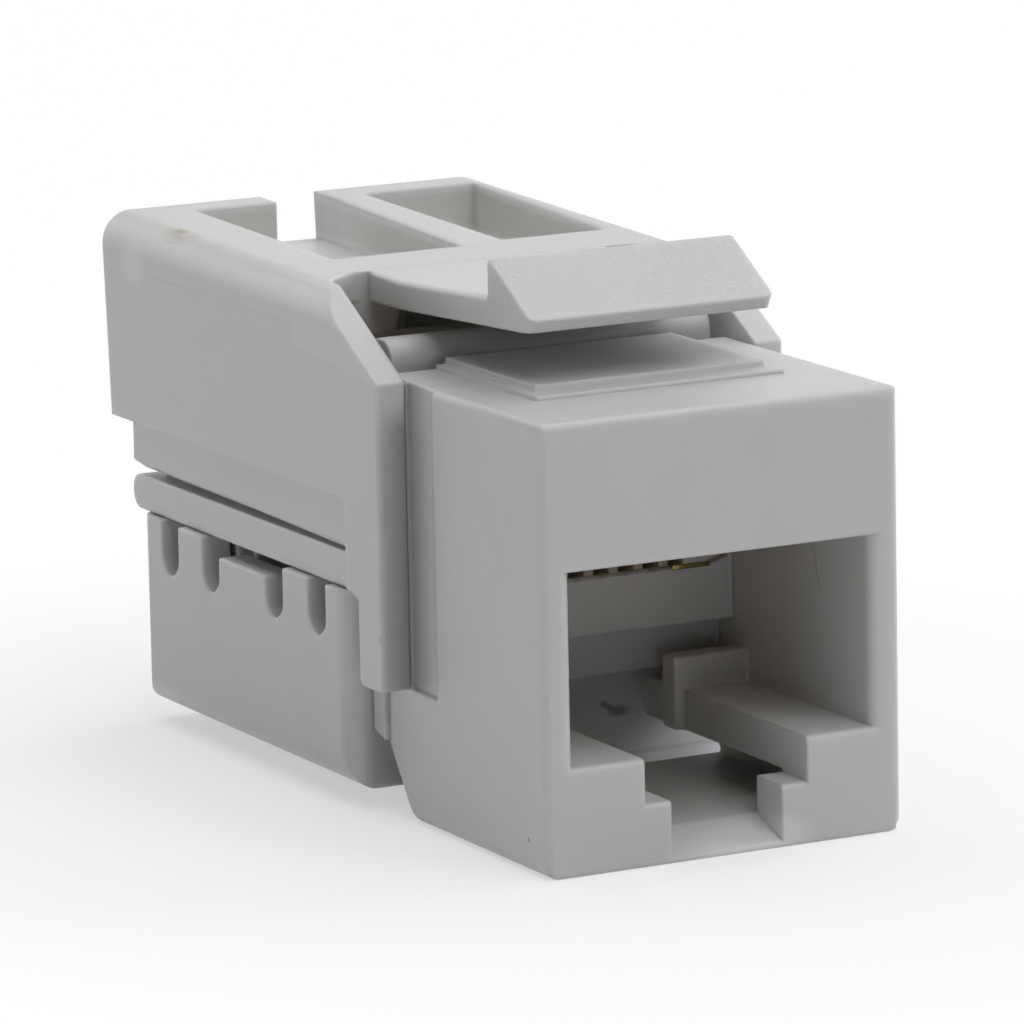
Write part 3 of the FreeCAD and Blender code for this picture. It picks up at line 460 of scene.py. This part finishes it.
def mark_parting_line(material):
    """The mould's faint parting line along the side, and a fleck below it."""
    nodes, links, shader = surface(material)
    line = strokes(nodes, links, PARTING_LINE, LINE_WIDTH)
    stain_or_paint_light(nodes, links, shader, line, LINE_GREY, 0.16)
    bump(nodes, links, shader, line, -0.008 * MM)
    fleck = spot(nodes, links, (SIDE_X, 10.33, -0.52), (0.2, 0.1, 0.12))
    stain_or_paint_light(nodes, links, shader, fleck, FLANGE_FLECK, 0.5)


def mark_wear(material):
    """A fleck in the front housing's side and a dark scratch inside the port."""
    nodes, links, shader = surface(material)
    fleck = spot(nodes, links, (BODY_X, 1.41, -6.12), (0.1, 0.11, 0.13))
    stain_or_paint_light(nodes, links, shader, fleck, SIDE_FLECK, 0.7)
    scratch = strokes(nodes, links, SCRATCH, LINE_WIDTH)
    stain_or_paint_light(nodes, links, shader, scratch, SCRATCH_BROWN, 0.4)


def shade_side_strip(material):
    """Painted shade in the recess beside the flange, darker towards the flange, and along the
    rib there.
    """
    nodes, links, shader = surface(material)
    place = position(nodes, links)
    beside = distance_from(nodes, links, place["X"], STRIP_X)
    strip = product(
        nodes, links,
        ramp(nodes, links, beside, 0.05, 0.1, 1.0, 0.0),
        ramp(nodes, links, place["Y"], FLANGE_Y - 1.47, FLANGE_Y - 0.07, 0.1, 1.0),
    )
    rib_x = STRIP_X - 0.1
    rib = stroke(nodes, links, (rib_x, FLANGE_Y, -2.2), (rib_x, FLANGE_Y, 8.6), 0.5)
    painted_shade = calculate(nodes, links, "MAXIMUM", strip, rib)
    stain_or_paint_light(nodes, links, shader, painted_shade, PAINTED_CORNER_SHADE, 0.6)


def paint_port_shade_and_sill_light(material):
    """Painted shade on the port's inside, and painted light on its sill."""
    nodes, links, shader = surface(material)
    place = position(nodes, links)
    across = distance_from(nodes, links, place["X"])
    inside = product(
        nodes, links,
        calculate(nodes, links, "LESS_THAN", across, 6.0 * MM),
        calculate(nodes, links, "LESS_THAN", place["Z"], 4.3 * MM),
        ramp(nodes, links, place["Y"], 2.5, 6.5),
    )
    stain_or_paint_light(nodes, links, shader, inside, PORT_PAINTED_SHADE, 0.26)
    sill = spot(nodes, links, (0.6, 0.0, -7.0), (3.2, 3.6, 1.2))
    stain_or_paint_light(nodes, links, shader, sill, SILL_PAINTED_LIGHT, 0.8)


def paint_cap_light_and_dark_mark(material):
    """Painted light low on the cap's front, a paler patch standing in for light bounced up from
    the table, and a dark mark above it, both seen down the port.
    """
    nodes, links, shader = surface(material)
    cap_light = spot(nodes, links, (5.6, CAP_FRONT_Y, -6.7), (3.2, 0.6, 1.7))
    stain_or_paint_light(nodes, links, shader, cap_light, CAP_PAINTED_LIGHT, 1.0)
    body = spot(nodes, links, (2.76, CAP_FRONT_Y, -4.97), (0.6, 0.4, 0.27))
    tip = stroke(nodes, links, (2.12, CAP_FRONT_Y, -4.64), (2.6, CAP_FRONT_Y, -4.94), 0.34)
    dark_mark = calculate(nodes, links, "MAXIMUM", body, tip)
    stain_or_paint_light(nodes, links, shader, dark_mark, DARK_MARK_BLACK, 0.65)


def mark_and_shade_comb(material):
    """Dull brown on the comb's plastic beside the contacts' ends, and painted shade in its
    slots.
    """
    nodes, links, shader = surface(material)
    tinge = stroke(nodes, links, (-5.6, COMB_Y, 1.05), (3.4, COMB_Y, 1.02), 0.5)
    stain_or_paint_light(nodes, links, shader, tinge, COMB_BROWN, 0.7)
    shade = stroke(nodes, links, (4.9, COMB_Y, 0.86), (5.6, COMB_Y, 1.1), 0.3)
    stain_or_paint_light(nodes, links, shader, shade, COMB_DARK, 0.8)
    for centre in COMB_SLOTS:
        slot_shade = spot(nodes, links, (centre, COMB_Y + 0.65, 1.0), (0.42, 0.9, 0.5))
        stain_or_paint_light(nodes, links, shader, slot_shade, SLOT_PAINTED_SHADE, 0.85)


def contact_metal(name, dark=(0.80, 0.56, 0.22), light=(0.86, 0.72, 0.45)):
    """Thin gold over nickel, worn a little paler in streaks."""
    material, nodes, links, shader = new_material(name)
    streak = spread(nodes, links, noise(nodes, links, 2500, detail=3.0), 0.35, 0.7, 0.0, 1.0)
    tone = mix_colours(nodes, links, streak, dark, light)
    links.new(tone, shader.inputs["Base Color"])
    shader.inputs["Metallic"].default_value = 1.0
    links.new(spread(nodes, links, streak, 0.0, 1.0, 0.22, 0.4), shader.inputs["Roughness"])
    bump(nodes, links, shader, noise(nodes, links, 7000), 0.003 * MM)
    return material


def blade_metal(name):
    """Dull tin plating with fine rolling marks."""
    material, nodes, links, shader = new_material(name)
    cloud = noise(nodes, links, 1800, detail=3.0)
    tone = mix_colours(nodes, links, cloud, (0.58, 0.57, 0.55), (0.74, 0.73, 0.71))
    links.new(tone, shader.inputs["Base Color"])
    shader.inputs["Metallic"].default_value = 1.0
    links.new(spread(nodes, links, cloud, 0.3, 0.7, 0.3, 0.5), shader.inputs["Roughness"])
    bump(nodes, links, shader, noise(nodes, links, 9000), 0.002 * MM)
    return material


def board_laminate(name):
    """Bare tan laminate with its glass weave."""
    material, nodes, links, shader = new_material(name)
    weave = nodes.new("ShaderNodeTexChecker")
    weave.inputs["Scale"].default_value = 1.0
    links.new(object_coordinates(nodes, links, 2200), weave.inputs["Vector"])
    cloud = noise(nodes, links, 600)
    tone = mix_colours(nodes, links, cloud, (0.40, 0.33, 0.22), (0.52, 0.44, 0.31))
    tone = mix_colours(
        nodes, links, calculate(nodes, links, "MULTIPLY", weave.outputs["Fac"], 0.25),
        tone, (0.60, 0.54, 0.42),
    )
    links.new(tone, shader.inputs["Base Color"])
    shader.inputs["Roughness"].default_value = 0.4
    bump(nodes, links, shader, weave.outputs["Fac"], 0.004 * MM, 0.4)
    return material


housing_plastic = moulded_plastic("housing_plastic")
rear_plastic = moulded_plastic("rear_plastic")
lever_plastic = moulded_plastic("lever_plastic")
cap_plastic = moulded_plastic("cap_plastic", grain=1.3, shade=0.95)
# A darker copy of the same plastic: painted shade for the pieces inside the jack.
shaded_inner_plastic = moulded_plastic("shaded_inner_plastic", shade=0.9)
screen_plastic = moulded_plastic("screen_plastic")
mark_wear(housing_plastic)
shade_side_strip(housing_plastic)
paint_port_shade_and_sill_light(housing_plastic)
soften_roof(rear_plastic)
mark_gate(rear_plastic)
mark_gusset(rear_plastic)
paint_pocket_light(rear_plastic)
shade_flange_front(rear_plastic)
mark_parting_line(rear_plastic)
paint_cap_light_and_dark_mark(cap_plastic)
mark_and_shade_comb(shaded_inner_plastic)
crisp_at_hinge(rear_plastic)
crisp_at_hinge(lever_plastic)
roughen_nose(lever_plastic)
gold = contact_metal("contact_gold")
# A much darker copy of the gold, for the contact end at the back of the port.
dark_gold = contact_metal("dark_gold", (0.20, 0.165, 0.06), (0.28, 0.235, 0.11))
tin = blade_metal("blade_tin")
laminate = board_laminate("board_laminate")


# --- mouldings with softened edges ---------------------------------------------------------
WELD = 0.002 * MM                      # corners nearer than this become one
FLAT_ANGLE = math.radians(0.6)         # faces that meet at less are one face
EDGE_ANGLE = math.radians(28)          # edges that turn more are rounded
CREASE_ANGLE = math.radians(45)        # edges that turn more stay sharp to the light
FOLD_ANGLE = math.radians(115)         # no face of a moulding turns back this far
LEAST_FACING = 0.2                     # a triangle that faces its own face by less is folded
CUT_REACH = 1e-7                       # corners this near a cut are taken to lie on it


def distance_to_edge(point, edge):
    """Distance from a point to the nearest place on an edge."""
    start, end = (vertex.co for vertex in edge.verts)
    run = end - start
    share = min(1.0, max(0.0, (point - start).dot(run) / run.length_squared))
    return (point - start - run * share).length


def gap_between(first, second):
    """Least distance between two edges, by their ends and middles."""
    least = math.inf
    for edge, other in ((first, second), (second, first)):
        here, there = (vertex.co for vertex in edge.verts)
        for point in (here, there, (here + there) / 2):
            least = min(least, distance_to_edge(point, other))
    return least


def room_beside(edge, sharp):
    """Widest rounding that an edge's two faces leave room for."""
    room = math.inf
    along = (edge.verts[1].co - edge.verts[0].co).normalized()
    for face in edge.link_faces:
        for other in face.edges:
            if other is edge:
                continue
            if set(edge.verts) & set(other.verts):
                run = other.verts[1].co - other.verts[0].co
                width = run.cross(along).length
                if width < run.length / 2:
                    continue
            else:
                width = gap_between(edge, other)
            room = min(room, width * (0.45 if other in sharp else 0.9))
    return room


def folded_places(piece):
    """Corners of the rounded mesh's faces that overlap themselves or fold back."""
    graph = bpy.context.evaluated_depsgraph_get()
    rounded = bpy.data.meshes.new_from_object(piece.evaluated_get(graph))
    rounded.calc_loop_triangles()
    folded = set()
    for triangle in rounded.loop_triangles:
        first, second, third = (rounded.vertices[i].co for i in triangle.vertices)
        across = (second - first).cross(third - first)
        if across.length > 1e-12:
            facing = across.normalized().dot(rounded.polygons[triangle.polygon_index].normal)
            if facing < LEAST_FACING:
                folded.add(triangle.polygon_index)
    places = [
        rounded.vertices[i].co.copy() for f in sorted(folded)
        for i in rounded.polygons[f].vertices
    ]
    edit = bmesh.new()
    edit.from_mesh(rounded)
    for edge in edit.edges:
        if len(edge.link_faces) != 2 or min(f.calc_area() for f in edge.link_faces) < 1e-13:
            continue
        if edge.calc_face_angle(0.0) > FOLD_ANGLE:
            places.append((edge.verts[0].co + edge.verts[1].co) / 2)
    edit.free()
    bpy.data.meshes.remove(rounded)
    return places


def lies_near(edge, places, reach):
    """Whether any of the places is within reach of an edge."""
    return any(distance_to_edge(place, edge) < reach for place in places)


def at_hinge(edge):
    """Whether an edge lies in the plane where the lever grows out of the roof."""
    return all(
        abs(vertex.co.y - HINGE_Y * MM) < 0.02 * MM
        and abs(vertex.co.x) < (LEVER_HALF_WIDTH + 0.05) * MM
        and vertex.co.z > 10.3 * MM for vertex in edge.verts
    )


def ease_folds(piece, edit, sharp, weights, radius):
    """Narrow the roundings, round by round, wherever the rounded mesh folds over itself."""
    for _ in range(20):
        edit.to_mesh(piece.data)
        places = folded_places(piece)
        eased = [
            edge for edge in sharp if edge[weights] > 0 and
            lies_near(edge, places, 1.2 * radius * edge[weights] + 0.01 * MM)
        ]
        for edge in eased:
            edge[weights] = edge[weights] / 2 if edge[weights] > 0.4 else 0.0
        if not eased:
            break


def soften(node, material, radius, edit, finish=None):
    """Copy of a moulding with its corners rounded off as the mould leaves them.

    Each edge starts with the widest rounding its faces leave room for, up to the radius.
    """
    source = frame["nodes"][node]
    weights = edit.edges.layers.float.new("bevel_weight_edge")
    bmesh.ops.remove_doubles(edit, verts=edit.verts, dist=WELD)
    bmesh.ops.dissolve_limit(
        edit, angle_limit=FLAT_ANGLE, verts=edit.verts, edges=edit.edges
    )
    sharp = [
        edge for edge in edit.edges
        if len(edge.link_faces) == 2 and edge.calc_face_angle() > EDGE_ANGLE
    ]
    sharp_set = set(sharp)
    for edge in sharp:
        width = min(radius, room_beside(edge, sharp_set))
        usable = width > radius / 5 and not at_hinge(edge)
        edge[weights] = width / radius if usable else 0.0

    mesh = bpy.data.meshes.new(node + "_moulding")
    piece = bpy.data.objects.new(node + "_moulding", mesh)
    bpy.context.scene.collection.objects.link(piece)
    rounding = piece.modifiers.new("rounding", "BEVEL")
    rounding.width = radius
    rounding.segments = 3
    rounding.limit_method = "WEIGHT"
    rounding.miter_outer = "MITER_ARC"
    rounding.use_clamp_overlap = False
    ease_folds(piece, edit, sharp, weights, radius)
    edit.free()

    graph = bpy.context.evaluated_depsgraph_get()
    piece.data = bpy.data.meshes.new_from_object(piece.evaluated_get(graph))
    piece.modifiers.remove(rounding)
    bpy.data.meshes.remove(mesh)
    if finish:
        finish(piece.data)
    for vertex in piece.data.vertices:
        vertex.co = [
            min(max(c, low), high) for c, low, high in zip(vertex.co, cad_low, cad_high)
        ]
    smooth_faces(piece.data)
    piece.data.materials.clear()
    piece.data.materials.append(material)
    normals = piece.modifiers.new("normals", "WEIGHTED_NORMAL")
    normals.keep_sharp = True
    normals.weight = 100
    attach(piece, source["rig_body"])
    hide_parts(node)
    return piece


def smooth_faces(mesh):
    """Smooth shading over the roundings, with the corners that stay sharp kept sharp."""
    edit = bmesh.new()
    edit.from_mesh(mesh)
    for face in edit.faces:
        face.smooth = True
    for edge in edit.edges:
        edge.smooth = edge.calc_face_angle(0.0) < CREASE_ANGLE
    edit.to_mesh(mesh)
    edit.free()


def cut(edit, faces, place, direction):
    """Divide faces along a plane."""
    parts = list(faces)
    parts += dict.fromkeys(edge for face in faces for edge in face.edges)
    parts += dict.fromkeys(vertex for face in faces for vertex in face.verts)
    bmesh.ops.bisect_plane(
        edit, geom=parts, dist=CUT_REACH, plane_co=place, plane_no=direction
    )


def reaches_below(face, height):
    """Whether a face has a corner below a height."""
    return any(vertex.co.z < height for vertex in face.verts)


def round_foot(mesh):
    """Round off the two long edges along the bottom of the front housing's sides."""
    radius = FOOT_RADIUS * MM
    half_width, floor = body_high.x, body_low.z
    edit = bmesh.new()
    edit.from_mesh(mesh)
    for share in FOOT_CUTS:
        for side in (-1, 1):
            low = [
                face for face in edit.faces
                if face.calc_center_median().z < floor + radius * 1.01
                or reaches_below(face, floor + radius)
            ]
            cut(edit, low, (side * (half_width - radius * share), 0, 0), (1, 0, 0))
        cut(edit, edit.faces[:], (0, 0, floor + radius * share), (0, 0, 1))
    for vertex in edit.verts:
        across = radius - (half_width - abs(vertex.co.x))
        down = radius - (vertex.co.z - floor)
        if across > 0 and down > 0:
            scale = max(across, down) / math.hypot(across, down)
            side = math.copysign(1.0, vertex.co.x)
            vertex.co.x = side * (half_width - radius + across * scale)
            vertex.co.z = floor + radius - down * scale
    foot = [face for face in edit.faces if reaches_below(face, floor + radius)]
    bmesh.ops.triangulate(edit, faces=foot)
    edit.to_mesh(mesh)
    edit.free()


def packed_solid(node):
    """A moulding as it is packed."""
    edit = bmesh.new()
    edit.from_mesh(frame["nodes"][node].data)
    return edit


def prism(outline, half_width):
    """Solid with an outline in the Y-Z plane, drawn out along X. Millimetres."""
    edit = bmesh.new()
    left = [edit.verts.new(Vector((-half_width, y, z)) * MM) for y, z in outline]
    face = edit.faces.new(left)
    drawn = bmesh.ops.extrude_face_region(edit, geom=[face])
    right = [item for item in drawn["geom"] if isinstance(item, bmesh.types.BMVert)]
    bmesh.ops.translate(edit, verts=right, vec=Vector((2 * half_width * MM, 0, 0)))
    bmesh.ops.recalc_face_normals(edit, faces=edit.faces)
    return edit


def lever_solid():
    """The lever's arm and wedge, with the nose's two corners rounded in plan."""
    edit = prism(LEVER_OUTLINE, LEVER_HALF_WIDTH)
    corners = [
        edge for edge in edit.edges
        if all(v.co.y < NOSE_CORNER_Y * MM for v in edge.verts)
        and abs(edge.verts[0].co.x - edge.verts[1].co.x) < 0.01 * MM
    ]
    bmesh.ops.bevel(
        edit, geom=corners, offset=NOSE_RADIUS * MM, segments=4, profile=0.5, affect="EDGES"
    )
    return edit


def cap_solid():
    """The wire cap, its front wall carried lower where the port looks down on it."""
    edit = packed_solid("wire_cap")
    start, end = CAP_LOWERED
    for x in (start - 0.1, start, end, end + 0.1):
        cut(edit, edit.faces[:], (x * MM, 0, 0), (1, 0, 0))
    for vertex in edit.verts:
        x, y, z = vertex.co / MM
        if start - 0.05 < x < end + 0.05 and y < CAP_FRONT_Y + 0.02 and z < CAP_EDGE_Z:
            vertex.co.z = CAP_LOWERED_Z * MM
    return edit


def thin_strip(name, low, high, material, slot, rounding):
    """Small bar on the jack between two corner points in millimetres.

    Its corners are rounded by a share of its least thickness.
    """
    edit = prism(
        ((low[1], low[2]), (high[1], low[2]), (high[1], high[2]), (low[1], high[2])),
        (high[0] - low[0]) / 2,
    )
    shift = Vector(((high[0] + low[0]) / 2, 0, 0)) * MM
    bmesh.ops.translate(edit, verts=edit.verts, vec=shift)
    thinnest = min(b - a for a, b in zip(low, high))
    if rounding:
        bmesh.ops.bevel(
            edit, geom=edit.edges[:], offset=thinnest * rounding * MM, segments=2,
            profile=0.5, affect="EDGES",
        )
    mesh = bpy.data.meshes.new(name)
    edit.to_mesh(mesh)
    edit.free()
    smooth_faces(mesh)
    mesh.materials.append(material)
    piece = bpy.data.objects.new(name, mesh)
    bpy.context.scene.collection.objects.link(piece)
    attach(piece, "jack")


# Each moulding's material, slot and rounding.
MOULDINGS = {
    "front_housing": (housing_plastic, "housing_plastic", 0.12),
    "rear_housing": (rear_plastic, "housing_plastic", 0.15),
    "latch_lever": (lever_plastic, "housing_plastic", 0.16),
    "wire_cap": (cap_plastic, "cap_plastic", 0.12),
    "contact_sled": (shaded_inner_plastic, "insulator_plastic", 0.06),
    "terminal_block": (shaded_inner_plastic, "insulator_plastic", 0.06),
}
REBUILT = {"latch_lever": lever_solid, "wire_cap": cap_solid}
FINISHED = {"front_housing": round_foot}
for node_name, (plastic, plastic_slot, edge_radius) in MOULDINGS.items():
    solid = REBUILT[node_name]() if node_name in REBUILT else packed_solid(node_name)
    moulding = soften(node_name, plastic, edge_radius * MM, solid, FINISHED.get(node_name))

# Detail on the comb, and strips that close narrow gaps to light: corners, material, slot
# and rounding.
STRIPS = {
    "comb_lip": (
        (-5.3, 9.91, 0.78), (3.3, 9.96, 0.93), shaded_inner_plastic, "insulator_plastic", 0.3),
    "comb_contact_end": (
        (3.4, 9.90, 0.74), (4.95, 9.96, 0.92), dark_gold, "gilded_contact", 0.3),
    "comb_seal": (
        (5.74, 9.94, -1.28), (5.96, 10.4, 3.4), shaded_inner_plastic, "insulator_plastic", 0),
    "comb_wall_seal": (
        (5.74, 10.99, -4.3), (5.96, 11.4, -1.29), shaded_inner_plastic, "insulator_plastic", 0),
    "board_front_cover": (
        (-4.8, 17.42, 8.27), (4.8, 17.57, 9.2), screen_plastic, "insulator_plastic", 0),
    "board_rear_cover": (
        (-4.8, 18.6, 8.27), (4.8, 18.78, 9.6), screen_plastic, "insulator_plastic", 0),
}
for strip_name, strip in STRIPS.items():
    thin_strip(strip_name, *strip)

for node_names, metal in ((CONTACTS, gold), (BLADES, tin), (["circuit_board"], laminate)):
    for node_name in node_names:
        mesh = frame["nodes"][node_name].data
        mesh.materials.clear()
        mesh.materials.append(metal)


# --- camera --------------------------------------------------------------------------------
CAMERA_PLACE = (-120.25, -215.73, 54.095)       # millimetres
CAMERA_ACROSS = (0.88546, -0.46426, -0.01992)   # direction of the picture's width
CAMERA_UPWARD = (0.10777, 0.16346, 0.98063)     # direction of its height
LENS = 255.62                                   # focal length on a 36 mm sensor


def make_camera():
    """Long lens from the left, a little above, as a close product shot."""
    data = bpy.data.cameras.new("camera")
    camera = bpy.data.objects.new("camera", data)
    bpy.context.scene.collection.objects.link(camera)
    across, upward = Vector(CAMERA_ACROSS), Vector(CAMERA_UPWARD)
    backward = across.cross(upward).normalized()
    turn = Matrix((across.normalized(), upward.normalized(), backward)).transposed()
    place = Vector(CAMERA_PLACE) * MM
    camera.matrix_world = Matrix.Translation(place) @ turn.to_4x4()
    data.sensor_width = 36.0
    data.lens = LENS
    data.clip_start = 0.01
    data.clip_end = 20.0
    bpy.context.scene.camera = camera


make_camera()


# --- stage and light -----------------------------------------------------------------------
def seen_directly(nodes, links):
    """1 for rays from the camera, and for those that reflect or pass glass on the way."""
    path = nodes.new("ShaderNodeLightPath")
    glossy = calculate(
        nodes, links, "MAXIMUM", path.outputs["Is Camera Ray"], path.outputs["Is Glossy Ray"]
    )
    return calculate(nodes, links, "MAXIMUM", glossy, path.outputs["Is Transmission Ray"])


def make_floor():
    """Wide pale table top, white where it is seen, with the shadow kept near the jack."""
    bpy.ops.mesh.primitive_grid_add(x_subdivisions=2, y_subdivisions=2, size=3.0)
    floor = bpy.context.object
    floor.name = "floor"
    floor.location = (0, 0, cad_low.z)
    material, nodes, links, shader = new_material("table_top")
    cloud = noise(nodes, links, 12, detail=1.0)
    tone = mix_colours(nodes, links, cloud, (0.93, 0.93, 0.93), (0.95, 0.95, 0.95))
    links.new(tone, shader.inputs["Base Color"])
    shader.inputs["Roughness"].default_value = 0.7
    shader.inputs["Specular IOR Level"].default_value = 0.1
    glow = nodes.new("ShaderNodeEmission")
    blend = nodes.new("ShaderNodeMixShader")
    near = spot(nodes, links, (0.0, 16.0, 0.0), (34.0, 44.0, 100.0))
    white = spread(nodes, links, near, 0.0, 1.0, 0.98, 0.5)
    white = calculate(nodes, links, "MULTIPLY", seen_directly(nodes, links), white)
    links.new(white, blend.inputs[0])
    links.new(shader.outputs["BSDF"], blend.inputs[1])
    links.new(glow.outputs["Emission"], blend.inputs[2])
    links.new(blend.outputs["Shader"], nodes["Material Output"].inputs["Surface"])
    floor.data.materials.append(material)


def make_lamp(name, place, size, power, colour):
    """Square soft box at a place, turned to the middle of the jack."""
    data = bpy.data.lights.new(name, "AREA")
    data.shape = "SQUARE"
    data.size = size
    data.energy = power
    data.color = colour
    lamp = bpy.data.objects.new(name, data)
    bpy.context.scene.collection.objects.link(lamp)
    lamp.location = place
    lamp.rotation_euler = (middle - Vector(place)).to_track_quat("-Z", "Y").to_euler()


def make_world():
    """White where it is seen, almost dark as a light."""
    world = bpy.data.worlds.new("studio")
    bpy.context.scene.world = world
    world.use_nodes = True
    nodes, links = world.node_tree.nodes, world.node_tree.links
    level = mix_colours(
        nodes, links, seen_directly(nodes, links), (0.01, 0.01, 0.01), (1.0, 1.0, 1.0)
    )
    links.new(level, nodes["Background"].inputs["Color"])


COOL = (0.985, 0.995, 1.02)
COOLER = (0.96, 0.985, 1.04)
# Each lamp's place and size in metres, power in watts, and colour.
LAMPS = {
    "top_box": ((0.0, 0.05, 0.45), 0.5, 1.07, COOL),
    "front_box": ((0.05, -0.3, 0.38), 0.35, 0.76, COOL),
    "right_box": ((0.5, 0.0, 0.2), 0.35, 1.19, COOL),
    "right_top_box": ((0.35, 0.1, 0.33), 0.35, 0.27, COOL),
    "rear_box": ((-0.1, 0.55, 0.12), 0.35, 0.56, COOL),
    "left_box": ((-0.5, -0.05, 0.18), 0.35, 0.285, COOLER),
}
make_floor()
for lamp_name, lamp in LAMPS.items():
    make_lamp(lamp_name, *lamp)
make_world()
bpy.context.scene.view_settings.view_transform = "Standard"
